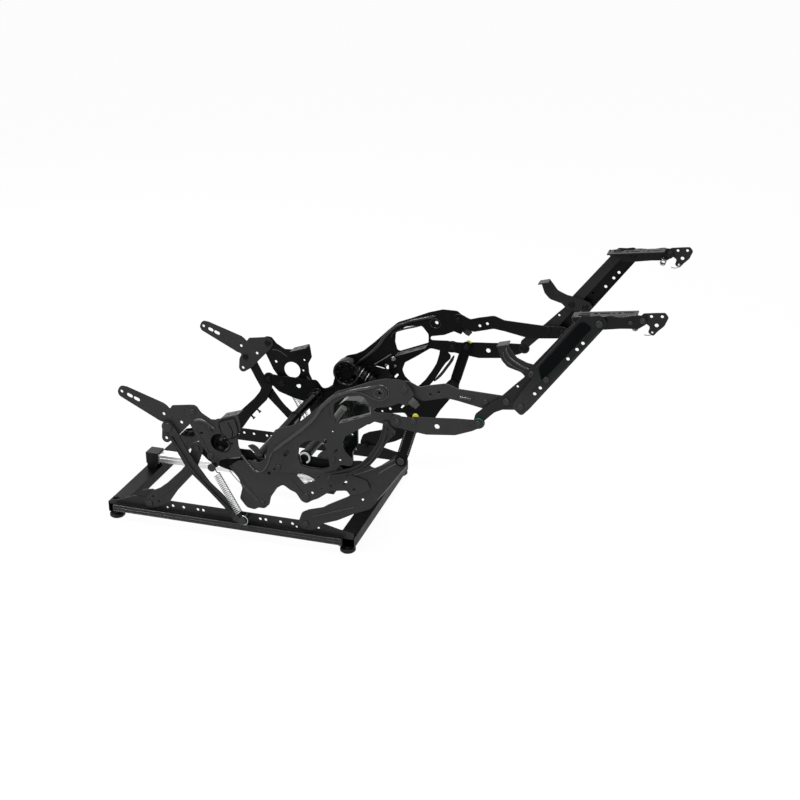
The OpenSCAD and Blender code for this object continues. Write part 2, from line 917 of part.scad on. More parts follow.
module upper_link() {
    difference() {
        union() {
            sheet_at(y_upper) {
                shape([[462, 480, 12], [482, 486, 10], [508, 474, 14], [530, 481, 20],
                       [572, 491, 20], [600, 481, 20], [710, 477, 20], [752, 479, 10],
                       [768, 470, 10], [766, 452, 10], [744, 447, 10], [700, 442, 20],
                       [660, 440, 20], [602, 451, 20], [572, 455, 20], [518, 440, 20],
                       [478, 452, 10]]);
                dot(up_pivot, 16);
                dot(up_rail, 15);
            }
            bead(y_upper + sheet, [[604, 462], [634, 459]], 9);
            post([667, 457], y_upper + 1, y_upper + sheet + rivet_h, head_r - 2);
            post(up_knee, y_upper - rivet_h, y_upper + 1, head_r);
            post(up_knee, y_upper + sheet - 0.5, y_knee - 0.3, head_r);
            post(up_knee, y_upper + 1, y_knee + sheet + 1, pin_r);
            post(up_knee, y_knee + sheet + 0.3, y_knee + sheet + 0.3 + rivet_h, head_r);
            post(up_rail, y_upper - rivet_h, y_upper + 1, head_r);
            post(up_rail, y_upper + sheet - 0.5, y_rail - 0.3, head_r - 1);
            post(up_rail, y_upper + 1, y_rail + sheet + 1, pin_r);
            post(up_rail, y_rail + sheet + 0.3, y_rail + sheet + 0.3 + rivet_h, head_r);
        }
        sheet_at(y_upper - 1, sheet + 2) {
            dot(up_pivot, hole_r);
            dot([534.4, 459], hole_d / 2);
            dot([554.5, 467], hole_d / 2);
        }
    }
}

module upper_link_right() {
    color("#28292c")
        right()
            upper_link();
}

module upper_link_left() {
    color("#28292c")
        left()
            upper_link();
}

module knee_link() {
    difference() {
        union() {
            sheet_at(y_knee) {
                shape([[641, 408, 10], [645, 427, 10], [664, 445, 12], [704, 478, 16],
                       [738, 514, 16], [756, 532, 10], [762, 548, 10], [876, 693, 6],
                       [893, 689, 6], [892, 675, 6], [784, 534, 10], [752, 492, 20],
                       [732, 458, 20], [708, 446, 20], [690, 437, 20], [666, 412, 14],
                       [662, 396, 10]]);
                dot(low_end, 14);
                dot(up_knee, 15);
            }
            post(mid_knee, y_knee + 1, y_knee + sheet + rivet_h, head_r);
            post(mid_knee, y_mid - 0.6, y_knee + 1, pin_r);
            post(mid_knee, y_mid + sheet + 0.3, y_knee + 1, head_r);
            post(mid_knee, y_mid - 0.3 - rivet_h, y_mid - 0.3, head_r);
        }
        sheet_at(y_knee - 1, sheet + 2) {
            dot(up_knee, hole_r);
            dot(low_end, pin_r + 3.2);
            dot(knee_top, pin_r - 1 + 0.4);
            dot([742, 508], 3);
        }
    }
}

module knee_link_right() {
    color("#28292c")
        right()
            knee_link();
}

module knee_link_left() {
    color("#28292c")
        left()
            knee_link();
}

// Footrest rail: narrow at the knee, wide at the top, both edges turned inwards
module foot_rail() {
    difference() {
        sheet_at(y_rail)
            translate(up_rail)
                rotate(rail_angle) {
                    shape([[-17, -16, 8], [-15, 15, 10], [30, 22, 20], [76, 25, 10],
                           [92, 36, 10], [262, 41, 12], [276, 24, 14], [290, 12, 12],
                           [292, -10, 12], [272, -14, 10], [10, -18, 14]]);
                }
        sheet_at(y_rail - 1, sheet + 2) {
            dot(up_rail, hole_r);
            dot(mid_rail, pin_r + 0.4);
            dot(rail_top, hole_r);
            for (s = [47, 67, 164, 195, 215])
                dot(along(up_rail, rail_top, s, -3), hole_d / 2);
            dot(along(up_rail, rail_top, 129, 10), 3.4);
        }
    }
    for (e = [[20, -14, 224, 2.5], [104, 33, 122, 2.5]])
        sheet_at(y_rail - 6, 7)
            translate(up_rail)
                rotate(rail_angle)
                    translate([e[0], e[1]])
                        square([e[2], e[3]]);
    // Raised panel of the wide part
    sheet_at(y_rail + sheet - 0.2, 1.2)
        translate(up_rail)
            rotate(rail_angle)
                shape([[146, 6, 4], [146, 36, 6], [250, 36, 8], [250, 6, 4]]);
}

module foot_rail_right() {
    color("#26272a")
        right()
            foot_rail();
}

module foot_rail_left() {
    color("#26272a")
        left()
            foot_rail();
}

// Mid footrest bracket with the turned pad at its top
module mid_bracket() {
    difference() {
        union() {
            sheet_at(y_mid)
                shape([[826, 528, 10], [824, 550, 12], [798, 559, 14], [760, 566, 20],
                       [736, 576, 20], [722, 594, 10], [714, 604, 1], [690, 598, 1],
                       [696, 582, 6], [702, 566, 16], [716, 551, 20], [748, 542, 14],
                       [762, 528, 10],
                       [784, 526, 12], [806, 524, 10]]);
            // Pad turned inwards
            translate([689, -y_mid - sheet, 598])
                rotate([0, -14, 0])
                    translate([0, 0, -sheet])
                        cube([26, 30, sheet]);
            post(mid_rail, y_mid - rivet_h, y_mid + 1, head_r);
            post(mid_rail, y_mid + sheet - 0.5, y_rail - 0.3, head_r - 1);
            post(mid_rail, y_mid + 1, y_rail + sheet + 1, pin_r);
            post(mid_rail, y_rail + sheet + 0.3, y_rail + sheet + 0.3 + rivet_h, head_r - 1);
        }
        sheet_at(y_mid - 1, sheet + 2)
            dot(mid_knee, hole_r);
    }
}

module mid_bracket_right() {
    color("#1c1d1f")
        right()
            mid_bracket();
}

module mid_bracket_left() {
    color("#1c1d1f")
        left()
            mid_bracket();
}

// Top footrest bracket with its slotted flange and the toe spring
module foot_bracket() {
    difference() {
        union() {
            sheet_at(y_out)
                shape([[858, 680, 8], [858, 690, 1], [1000, 708.4, 1], [1020, 708, 6],
                       [1020, 690, 6], [1004, 678, 6], [965, 674, 20], [930, 668, 14],
                       [900, 664, 12], [872, 668, 12]]);
            difference() {
                translate([858, -y_out - sheet, 690])
                    rotate([0, -7.4, 0])
                        translate([0, 0, -sheet])
                            cube([142, foot_flange_w + sheet, sheet]);
                // Notch over the end of the knee link
                translate([knee_top[0] - 12.5, -y_out, 680])
                    cube([25, 10, 24]);
            }
            // End plate
            translate([997.5, -y_out - sheet, 678])
                cube([sheet, 12, 28]);
            post(knee_top, y_out + 1, y_out + sheet + rivet_h, head_r - 1);
            post(knee_top, y_knee + sheet + 0.3, y_out + 1, 6);
            post(knee_top, y_knee - 0.6, y_out + 1, pin_r - 1);
            post(knee_top, y_knee - 0.3 - rivet_h, y_knee - 0.3, 7);
            post(rail_top, y_out - rivet_h, y_out + 1, head_r);
            post(rail_top, y_out + 1, y_rail - 0.3, head_r);
            post(rail_top, y_out + 1, y_rail + sheet + 1, pin_r);
            post(rail_top, y_rail + sheet + 0.3, y_rail + sheet + 0.3 + rivet_h, head_r);
            post([986, 690], y_out + 1, y_out + sheet + rivet_h, 5);
            // Pivot of the toe plate
            post(toe_pivot, y_out + 1, y_out + sheet + rivet_h, 6.5);
            post(toe_pivot, y_toe - 0.6, y_out + 1, 4);
            post(toe_pivot, y_toe + sheet + 0.3, y_out + 1, 6);
            post(toe_pivot, y_toe - 0.3 - 14, y_toe - 0.3, 5.5);
            for (i = [0:4])
                post(toe_pivot, y_toe - 3 - i * 2.6, y_toe - 1.2 - i * 2.6, 8);
        }
        translate([858, -y_out - sheet, 690])
            rotate([0, -7.4, 0]) {
                for (x = [26, 70, 122])
                    translate([x - 11, foot_flange_w * 0.55, -sheet - 1])
                        cube([22, 6, sheet + 2]);
                for (x = [50, 102])
                    translate([x - 4, foot_flange_w * 0.5, -sheet - 1])
                        cube([8, 8, sheet + 2]);
                translate([90, foot_flange_w * 0.6, -sheet - 1])
                    cylinder(h = sheet + 2, r = 3);
            }
    }
}

module foot_bracket_right() {
    color("#222326")
        right()
            foot_bracket();
}

module foot_bracket_left() {
    color("#222326")
        left()
            foot_bracket();
}

module toe_plate() {
    difference() {
        sheet_at(y_toe)
            shape([[1003, 702, 6], [1012, 712, 6], [1040, 716, 20], [1058, 718, 6],
                   [1066, 708, 6], [1058, 688, 14], [1046, 676, 8], [1036, 663, 4],
                   [1024, 670, 5], [1028, 684, 6], [1018, 690, 4], [1005, 688, 6]]);
        sheet_at(y_toe - 1, sheet + 2) {
            dot(toe_pivot, 4.1);
            dot([1029, 707], 3.4);
            dot([1052, 709], 3.4);
            dot([1041.5, 688], 4.4);
            dot([1033.5, 671], 2.6);
        }
    }
}

module toe_plate_right() {
    color("#1e1f21")
        right()
            toe_plate();
}

module toe_plate_left() {
    color("#1e1f21")
        left()
            toe_plate();
}

// ---- Extension springs ----

coil_r = (spring_od - spring_wire) / 2;
span = norm(spring_base - spring_top);
eye_r = 4 + spring_wire / 2 + 0.5;
lead = 22;
ring = 14;

// Wire path along the spring: s runs from the upper pin to the lower one
function eye(c, a0, a1, n) = [for (i = [0:n])
    [c + eye_r * cos(a0 + (a1 - a0) * i / n), eye_r * sin(a0 + (a1 - a0) * i / n), 0]];
wire = concat(
    eye(0, 400, 100, 12),
    [[12, 3, 0], [lead - 4, 2, -2]],
    [for (i = [0:spring_turns * ring])
        [lead + (span - 2 * lead) * i / (spring_turns * ring),
         coil_r * sin(i * 360 / ring), -coil_r * cos(i * 360 / ring)]],
    [[span - lead + 4, 2, -2], [span - 12, 3, 0]],
    eye(span, 80, -220, 12));
tangent = [for (i = [0:len(wire) - 1])
    unit(wire[min(i + 1, len(wire) - 1)] - wire[max(i - 1, 0)])];
function turn(n, t) = unit(n - (n * t) * t);
normal = [for (i = 0, n = turn([0, 0, 1], tangent[0]); i < len(wire);
    i = i + 1, n = i < len(wire) ? turn(n, tangent[i]) : n) n];
around = 6;

module spring() {
    p = [for (i = [0:len(wire) - 1]) for (j = [0:around - 1])
        wire[i] + spring_wire / 2 * (cos(j * 360 / around) * normal[i]
            + sin(j * 360 / around) * cross(tangent[i], normal[i]))];
    n = len(wire);
    f = concat(
        [[for (j = [around - 1:-1:0]) j]],
        [[for (j = [0:around - 1]) (n - 1) * around + j]],
        [for (i = [0:n - 2]) for (j = [0:around - 1])
            [i * around + j, i * around + (j + 1) % around,
             (i + 1) * around + (j + 1) % around, (i + 1) * around + j]]);
    translate([spring_top[0], -y_spring, spring_top[1]])
        rotate([0, -atan2(spring_base[1] - spring_top[1], spring_base[0] - spring_top[0]), 0])
            rotate([90, 0, 0])
                polyhedron(points = p, faces = f);
}

module spring_right() {
    color("#d3d6d9")
        right()
            spring();
}

module spring_left() {
    color("#d3d6d9")
        left()
            spring();
}

// ---- Linear actuator ----

act_z = 60;

module actuator_rail() {
    color("#c9ccce")
        right()
            translate([-309, 0, act_z])
                rotate([90, 0, 90])
                    linear_extrude(470)
                        difference() {
                            translate([-rail_w / 2, 0])
                                square([rail_w, rail_h]);
                            for (s = [-1, 1])
                                translate([s * rail_w / 2, rail_h * 0.62])
                                    square([4, 3], center = true);
                            translate([-5, rail_h - 3])
                                square([10, 4]);
                        }
}

module actuator_cap() {
    color("#17181a")
        right() {
            difference() {
                translate([-336, -rail_w / 2 - 3, act_z - 5])
                    cube([36, rail_w + 6, rail_h + 10]);
                translate([-309, -rail_w / 2, act_z])
                    cube([30, rail_w, rail_h]);
                translate([-330, -rail_w / 2 + 4, act_z - 6])
                    cube([15, rail_w - 8, rail_h + 5]);
            }
            for (s = [-1, 1])
                translate([-334, s * (rail_w / 2 - 1) - 3, web_top - 30])
                    cube([26, 6, act_z - 5 - web_top + 30]);
        }
}

module actuator_motor() {
    color("#242829")
        right() {
            difference() {
                translate([161, -31, act_z - 6])
                    cube([58, 62, rail_h + 12]);
                translate([160, -rail_w / 2, act_z])
                    cube([1, rail_w, rail_h]);
            }
            translate([190, 0, act_z + rail_h + 6])
                cylinder(h = 52, r = 29);
            translate([190, 0, act_z + rail_h + 58])
                cylinder(h = 8, r1 = 29, r2 = 22);
            translate([168, -24, act_z - 18])
                cube([44, 48, 12]);
            // Front foot on the cross tube
            translate([219, -16, act_z - 6])
                cube([84, 32, 6]);
            translate([299, -16, web_top - 30])
                cube([4, 32, act_z - web_top + 30 - 5]);
        }
}

module slide_block() {
    color("#1a1b1d")
        right() {
            difference() {
                translate([-52, -rail_w / 2 - 5, act_z - 5])
                    cube([64, rail_w + 10, rail_h + 14]);
                translate([-53, -rail_w / 2 - 0.2, act_z - 0.2])
                    cube([66, rail_w + 0.4, rail_h + 0.4]);
            }
            for (s = [-1, 1])
                difference() {
                    sheet_at(s > 0 ? 8 : -14, 6)
                        shape([[-44, act_z + rail_h + 5, 0], [-36, 112, 8], [-12, 112, 8],
                               [-4, act_z + rail_h + 5, 0]]);
                }
            post([-24, 102], -14, 14, 5);
        }
}

module push_link() {
    color("#26272a")
        right()
            difference() {
                sheet_at(-6, 12)
                    stroke([[-24, 102], [72, 165]], 20);
                post([-24, 102], -7, 7, 5.1);
                post([72, 165], -7, 7, 8);
                sheet_at(-3, 6)
                    polygon([along([-24, 102], [72, 165], 18, -12),
                             along([-24, 102], [72, 165], 96, -12),
                             along([-24, 102], [72, 165], 96, 12),
                             along([-24, 102], [72, 165], 18, 12)]);
            }
}

// Round hub housing on the inside of the left seat plate
module hub_housing() {
    color("#121315")
        left() {
            difference() {
                union() {
                    sheet_at(side - 12, 19) {
                        dot([170, 293], 37);
                        shape([[136, 300, 4], [133, 232, 4], [200, 244, 6], [200, 290, 4]]);
                    }
                    sheet_at(side - 18, 8)
                        difference() {
                            dot([170, 293], 37);
                            dot([170, 293], 30);
                        }
                    sheet_at(side - 16, 6)
                        dot([170, 293], 14);
                    // Plate behind the drum
                    sheet_at(side + 4, 3)
                        shape([[150, 262, 4], [198, 306, 6], [244, 314, 10], [290, 306, 10],
                               [292, 252, 10], [262, 226, 10], [224, 226, 6], [196, 256, 6]]);
                    post([180, 318], side + 6, y_seat, 6);
                    post([148, 288], side + 6, y_seat, 5);
                }
                sheet_at(side - 21, 40)
                    slot([192, 282], 22, 11, 50);
                post(torque_at, side - 30, side + 30, 14);
            }
            // Ribbed drum of the drive
            translate([197, -side + 9, 305])
                rotate([0, 119.7, 0]) {
                    cylinder(h = 62, r = 12.5);
                    for (h = [6, 26, 46])
                        translate([0, 0, h])
                            cylinder(h = 5, r = 14.5);
                }
        }
}

// Geared motor on the inside of the right seat plate
module seat_motor() {
    color("#0d1210")
        right() {
            difference() {
                union() {
                    // Gear case and the round motor beside it
                    sheet_at(118, 40)
                        shape([[274, 328, 8], [277, 364, 10], [296, 380, 12], [338, 383, 12],
                               [350, 350, 10], [338, 336, 6], [322, 322, 8], [284, 322, 6]]);
                    sheet_at(98, 66)
                        dot([338, 360], 23);
                    sheet_at(163, 4)
                        dot([338, 360], 17);
                    sheet_at(157, 4)
                        dot([298, 350], 14);
                    // Bracket down to the carriage plate
                    sheet_at(154, 6)
                        shape([[288, 340, 4], [328, 340, 4], [328, 266, 8], [314, 244, 14],
                               [314, 212, 6], [300, 208, 6], [298, 236, 10], [286, 254, 8]]);
                }
                sheet_at(150, 14)
                    dot([313, 290], 3);
            }
            post([296, 262], 156, y_carr, 6);
        }
}

/* [Hidden] */

rear_crossmember();
front_crossmember();
glide_rear_right();
glide_rear_left();
glide_front_right();
glide_front_left();
base_rail_right();
base_rail_left();
rear_lift_right();
rear_lift_left();
front_lift_right();
front_lift_left();
curved_link_right();
curved_link_left();
carriage_plate_right();
carriage_plate_left();
inner_plate_right();
inner_plate_left();
seat_rear_right();
seat_rear_left();
seat_front_right();
seat_front_left();
brace_right();
brace_left();
cross_tube();
torque_tube();
clip_right();
clip_left();
back_plate_right();
back_plate_left();
lower_link_right();
lower_link_left();
knee_washer_right();
knee_washer_left();
drive_washer_right();
drive_washer_left();
drive_channel_right();
drive_channel_left();
upper_link_right();
upper_link_left();
knee_link_right();
knee_link_left();
foot_rail_right();
foot_rail_left();
mid_bracket_right();
mid_bracket_left();
foot_bracket_right();
foot_bracket_left();
toe_plate_right();
toe_plate_left();
spring_right();
spring_left();
actuator_rail();
actuator_cap();
actuator_motor();
slide_block();
push_link();
hub_housing();
seat_motor();
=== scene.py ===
"""Recliner mechanism: paint, rivets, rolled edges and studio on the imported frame."""
import math

import bmesh
import bpy
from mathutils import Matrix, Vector


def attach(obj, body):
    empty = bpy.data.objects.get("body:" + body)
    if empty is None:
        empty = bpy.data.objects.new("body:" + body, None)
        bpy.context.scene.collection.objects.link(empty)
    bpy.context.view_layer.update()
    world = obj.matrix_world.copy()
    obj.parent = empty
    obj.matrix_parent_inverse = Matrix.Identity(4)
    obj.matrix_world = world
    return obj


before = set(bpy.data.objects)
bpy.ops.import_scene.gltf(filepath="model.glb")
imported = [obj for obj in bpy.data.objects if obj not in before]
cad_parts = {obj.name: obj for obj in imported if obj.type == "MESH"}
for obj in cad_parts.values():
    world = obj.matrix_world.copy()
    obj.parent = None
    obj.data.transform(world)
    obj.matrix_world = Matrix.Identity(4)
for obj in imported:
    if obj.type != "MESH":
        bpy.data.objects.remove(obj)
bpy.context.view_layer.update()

MM = 0.001
X_SHIFT = -0.363  # metres from the origin of the side view to that of the frame
SIDES = ("right", "left")
SIGN = {"right": -1, "left": 1}

# Pivots in the side view, [x, z] in millimetres
REAR_LIFT_LOW, REAR_LIFT_TOP = (-214, 60), (-70, 236)
FRONT_LIFT_LOW, FRONT_LIFT_TOP = (215, 68), (359, 244)
CURVED_LOW, CURVED_TOP = (36, 64), (-141, 291.5)
SPRING_LOW, SPRING_TOP, SPRING_Y = (57, 66), (-18.8, 204.5), 266
BACK_PIVOT, BACK_STUD = (-72, 341), (-29.5, 227)
CHANNEL_LOW, CHANNEL_TOP = (465, 280), (498, 393)
LOWER_LINK, UPPER_LINK = (458, 386), (475.5, 469)
KNEE_LOW, KNEE_TOP = (653.7, 405.6), (717, 467.5)
RAIL_LOW, RAIL_TOP = (753, 464.5), (920, 682)
MID_KNEE, MID_RAIL = (773.4, 541), (809.4, 538)
BRACKET_KNEE, TOE_PIVOT = (884, 685), (1012, 697)
SEAT_FACE = 252.5  # outer face of the seat plates, from the middle plane


# ---- Materials ----

EDGE_R, PLASTIC_R, METAL_R = 0.0011, 0.001, 0.0008  # radii that the shading gives to edges, metres
CLOUDS, GLOSS_SPOTS, RUB_GLINT_SPOTS, PEEL_GRAIN = 9.0, 40.0, 55.0, 900.0  # noise scales of paint
CLOUD_SHARE, RUB_GLINT_SHARE = 0.12, 0.4
BUMP_DEPTH = 0.0004


def new_mat(name):
    m = bpy.data.materials.new(name)
    m.use_nodes = True
    nt = m.node_tree
    return m, nt, nt.nodes["Principled BSDF"]


def noise(nt, scale, detail=3.0):
    co = nt.nodes.new("ShaderNodeTexCoord")
    n = nt.nodes.new("ShaderNodeTexNoise")
    n.inputs["Scale"].default_value = scale
    n.inputs["Detail"].default_value = detail
    n.inputs["Roughness"].default_value = 0.55
    nt.links.new(co.outputs["Object"], n.inputs["Vector"])
    return n.outputs["Fac"]


def ramp(nt, fac, lo, hi, p0=0.3, p1=0.7):
    """lo to hi while fac runs from p0 to p1."""
    r = nt.nodes.new("ShaderNodeMapRange")
    r.inputs["From Min"].default_value = p0
    r.inputs["From Max"].default_value = p1
    r.inputs["To Min"].default_value = lo
    r.inputs["To Max"].default_value = hi
    nt.links.new(fac, r.inputs["Value"])
    return r.outputs["Result"]


def tint(nt, fac, a, b):
    """Mix of two colours, each a tuple or a socket."""
    mix = nt.nodes.new("ShaderNodeMix")
    mix.data_type = "RGBA"
    for key, c in (("A", a), ("B", b)):
        if isinstance(c, (tuple, list)):
            mix.inputs[key].default_value = (*c, 1)
        else:
            nt.links.new(c, mix.inputs[key])
    nt.links.new(fac, mix.inputs["Factor"])
    return mix.outputs["Result"]


def calc(nt, op, a, b=None, clamp=True):
    """Math node on sockets or numbers."""
    m = nt.nodes.new("ShaderNodeMath")
    m.operation = op
    m.use_clamp = clamp
    for k, v in enumerate((a, b)):
        if isinstance(v, float):
            m.inputs[k].default_value = v
        elif v is not None:
            nt.links.new(v, m.inputs[k])
    return m.outputs[0]


def bevel(nt, radius):
    bev = nt.nodes.new("ShaderNodeBevel")
    bev.samples = 4
    bev.inputs["Radius"].default_value = radius
    return bev.outputs["Normal"]


def edges(nt, round_normal):
    """1 along sharp edges and 0 on flats, from the rounded against the true normal."""
    geo = nt.nodes.new("ShaderNodeNewGeometry")
    dot = nt.nodes.new("ShaderNodeVectorMath")
    dot.operation = "DOT_PRODUCT"
    nt.links.new(round_normal, dot.inputs[0])
    nt.links.new(geo.outputs["Normal"], dot.inputs[1])
    return ramp(nt, dot.outputs["Value"], 1.0, 0.0, 0.82, 0.99)


def bump(nt, height, normal, strength):
    b = nt.nodes.new("ShaderNodeBump")
    b.inputs["Strength"].default_value = strength
    b.inputs["Distance"].default_value = BUMP_DEPTH
    nt.links.new(height, b.inputs["Height"])
    nt.links.new(normal, b.inputs["Normal"])
    return b.outputs["Normal"]


def axes(nt, kind):
    """Object-space position or normal as three sockets."""
    co = nt.nodes.new("ShaderNodeTexCoord")
    sep = nt.nodes.new("ShaderNodeSeparateXYZ")
    nt.links.new(co.outputs[kind], sep.inputs[0])
    return sep.outputs


def paint(name, col, rough, spec, wear_and_glint=0.05, peel=0.12, cut=None, flange=None, fade=None,
          inner_shade=None):
    """Coated sheet steel: cloudy colour, orange-peel bump, edges lighter in spots (worn paint and a
    painted highlight).

    fade = (colour, z0, z1) runs to another colour up the piece, the inner shade colour is painted
    shade on faces turned to the middle, cut darkens the sheared edges (their own colour and painted
    shade), and flange = (colour, y) is painted light on what faces up nearer the middle than y
    metres.
    """
    m, nt, b = new_mat(name)
    place_xyz, facing = axes(nt, "Object"), axes(nt, "Normal")
    round_normal = bevel(nt, EDGE_R)
    # painted highlight: sharp edges made lighter in spots, standing for both worn paint and edges
    # catching the light
    rub_and_glint = calc(nt, "MULTIPLY", edges(nt, round_normal),
               ramp(nt, noise(nt, RUB_GLINT_SPOTS), 0.25, 1.0, 0.35, 0.6))
    base = tint(nt, ramp(nt, noise(nt, CLOUDS), 0, 1), [c * (1 - CLOUD_SHARE) for c in col],
                [c * (1 + CLOUD_SHARE) for c in col])
    if fade:
        upper_col, z0, z1 = fade
        base = tint(nt, ramp(nt, place_xyz[2], 0, 1, z0, z1), base, upper_col)
    base = tint(nt, calc(nt, "MULTIPLY", rub_and_glint, RUB_GLINT_SHARE), base, [c + wear_and_glint for c in col])
    # painted shade: faces turned to the middle of the mechanism take the darker inner shade colour
    if inner_shade:
        outward = calc(nt, "MULTIPLY", facing[1], place_xyz[1], clamp=False)
        base = tint(nt, ramp(nt, outward, 0, 1, -0.03, 0.03), inner_shade, base)
    # painted shade, partly the sheet's own edge colour: faces not turned sideways, the sheared
    # edges, go darker
    if cut is not None:
        side_on = calc(nt, "ABSOLUTE", facing[1], clamp=False)
        base = tint(nt, ramp(nt, side_on, 0, 1, 0.3, 0.75), [c * cut for c in col], base)
    # painted light: faces turned up, nearer the middle than y, are made lighter as if lit from
    # above
    if flange:
        lit_flange_col, y = flange
        from_middle = calc(nt, "ABSOLUTE", place_xyz[1], clamp=False)
        up = calc(nt, "MULTIPLY", ramp(nt, from_middle, 1, 0, y - 0.0004, y + 0.0004),
                  ramp(nt, facing[2], 0, 1, 0.45, 0.75))
        cloud = tint(nt, ramp(nt, noise(nt, 45.0), 0, 1), [c * 0.6 for c in lit_flange_col], lit_flange_col)
        base = tint(nt, up, base, cloud)
    nt.links.new(base, b.inputs["Base Color"])
    nt.links.new(ramp(nt, noise(nt, GLOSS_SPOTS), rough - 0.06, rough + 0.06),
                 b.inputs["Roughness"])
    b.inputs["Specular IOR Level"].default_value = spec
    nt.links.new(bump(nt, noise(nt, PEEL_GRAIN, 2.0), round_normal, peel), b.inputs["Normal"])
    return m


def metal(name, col, rough=0.3, vary=0.25, along=(1.0, 1.0, 1.0)):
    """Bare or plated metal with fine drawn lines and dull spots."""
    m, nt, b = new_mat(name)
    co = nt.nodes.new("ShaderNodeTexCoord")
    mp = nt.nodes.new("ShaderNodeMapping")
    mp.inputs["Scale"].default_value = along
    nt.links.new(co.outputs["Object"], mp.inputs["Vector"])
    lines = nt.nodes.new("ShaderNodeTexNoise")
    lines.inputs["Scale"].default_value = 160.0
    lines.inputs["Detail"].default_value = 2.0
    nt.links.new(mp.outputs["Vector"], lines.inputs["Vector"])
    dull = [c * (1 - vary) for c in col]
    nt.links.new(tint(nt, ramp(nt, noise(nt, 30.0), 0, 1), dull, col), b.inputs["Base Color"])
    nt.links.new(ramp(nt, lines.outputs["Fac"], rough - 0.08, rough + 0.08),
                 b.inputs["Roughness"])
    b.inputs["Metallic"].default_value = 1.0
    nt.links.new(bump(nt, lines.outputs["Fac"], bevel(nt, METAL_R), 0.08), b.inputs["Normal"])
    return m


def plastic(name, col, rough=0.5, spec=0.35):
    """Moulded plastic with a fine grain, and edges paler as a painted highlight."""
    m, nt, b = new_mat(name)
    round_normal = bevel(nt, PLASTIC_R)
    base = tint(nt, ramp(nt, noise(nt, 25.0), 0, 1), [c * 0.8 for c in col], col)
    # painted highlight: edges paler than the body
    nt.links.new(tint(nt, edges(nt, round_normal), base, [c * 1.4 + 0.01 for c in col]),
                 b.inputs["Base Color"])
    nt.links.new(ramp(nt, noise(nt, 60.0), rough - 0.05, rough + 0.05), b.inputs["Roughness"])
    b.inputs["Specular IOR Level"].default_value = spec
    nt.links.new(bump(nt, noise(nt, 700.0, 2.0), round_normal, 0.2), b.inputs["Normal"])
    return m


def at(p, side):
    """Frame position of [x, y, z] in millimetres, y outwards from the middle plane."""
    x, y, z = p
    return Vector((x * MM + X_SHIFT, SIGN[side] * y * MM, z * MM))


def shaded_spring_zinc(name, side):
    """Plated wire with painted shade: dark on the part of the wire nearer the coil's axis."""
    m, nt, b = new_mat(name)
    top, low = (at((x, SPRING_Y, z), side) for x, z in (SPRING_TOP, SPRING_LOW))
    co = nt.nodes.new("ShaderNodeTexCoord")
    from_top, off_axis, radius = (nt.nodes.new("ShaderNodeVectorMath") for k in range(3))
    from_top.operation = "SUBTRACT"
    from_top.inputs[1].default_value = top
    off_axis.operation = "CROSS_PRODUCT"
    off_axis.inputs[1].default_value = (low - top).normalized()
    radius.operation = "LENGTH"
    nt.links.new(co.outputs["Object"], from_top.inputs[0])
    nt.links.new(from_top.outputs["Vector"], off_axis.inputs[0])
    nt.links.new(off_axis.outputs["Vector"], radius.inputs[0])
    # painted shade: the wire is dark nearer the spring's axis, where the coil shades itself
    outer = ramp(nt, radius.outputs["Value"], 0, 1, 0.0082, 0.0093)
    bright = tint(nt, ramp(nt, noise(nt, 90.0), 0, 1), (0.34, 0.36, 0.37), (0.62, 0.64, 0.65))
    nt.links.new(tint(nt, outer, (0.018, 0.019, 0.02), bright), b.inputs["Base Color"])
    nt.links.new(ramp(nt, noise(nt, 120.0), 0.26, 0.42), b.inputs["Roughness"])
    b.inputs["Metallic"].default_value = 1.0
    return m


# painted shade: the dark colour given to faces turned to the middle of the mechanism
INNER_SHADE = (0.0022, 0.0023, 0.0023)
GREY = paint("paint_grey", (0.0225, 0.0225, 0.0230), 0.42, 0.11, wear_and_glint=0.04, cut=0.12,
             inner_shade=INNER_SHADE, flange=((0.055, 0.055, 0.053), 0.2466))
PLATE = paint("paint_back", (0.0215, 0.0215, 0.0220), 0.42, 0.11, wear_and_glint=0.04, cut=0.12)
LINK = paint("paint_link", (0.0205, 0.0205, 0.0210), 0.42, 0.11, wear_and_glint=0.04, cut=0.12,
             inner_shade=INNER_SHADE)
HEAD = paint("paint_head", (0.012, 0.012, 0.0124), 0.3, 0.3)
GLOSS = paint("paint_gloss", (0.010, 0.010, 0.0104), 0.15, 0.55, wear_and_glint=0.06, peel=0.05)
SHINE = paint("paint_shine", (0.0030, 0.0030, 0.0032), 0.13, 0.3, wear_and_glint=0.02, peel=0.05)
BLACK = paint("paint_black", (0.0024, 0.0024, 0.0026), 0.20, 0.11, wear_and_glint=0.03, peel=0.2, cut=0.4)
DEEP = paint("paint_deep", (0.0026, 0.0028, 0.0028), 0.36, 0.05, wear_and_glint=0.02, cut=0.6)
NIGHT = paint("paint_night", (0.0034, 0.0036, 0.0036), 0.5, 0.0, wear_and_glint=0.01, cut=1.0)
BASE_RAIL = paint("paint_rail", (0.0150, 0.0155, 0.0155), 0.36, 0.14, cut=0.4, inner_shade=INNER_SHADE)
FOOT_RAIL = paint("paint_foot_rail", (0.0200, 0.0200, 0.0205), 0.40, 0.10, cut=0.12,
                  inner_shade=INNER_SHADE, fade=((0.0075, 0.0085, 0.0088), 0.475, 0.58))
PANEL = paint("paint_panel", (0.0022, 0.0030, 0.0034), 0.34, 0.02, wear_and_glint=0.02, peel=0.05)
BRACKET = paint("paint_bracket", (0.0048, 0.0050, 0.0048), 0.34, 0.14, cut=0.5,
                flange=((0.019, 0.019, 0.018), 0.2535))
KNEE = paint("paint_knee", (0.0125, 0.0125, 0.0128), 0.42, 0.10, wear_and_glint=0.04, cut=0.25)
ARM = paint("paint_arm", (0.0075, 0.0075, 0.0078), 0.34, 0.2, cut=0.35,
            flange=((0.022, 0.022, 0.021), 0.2412))
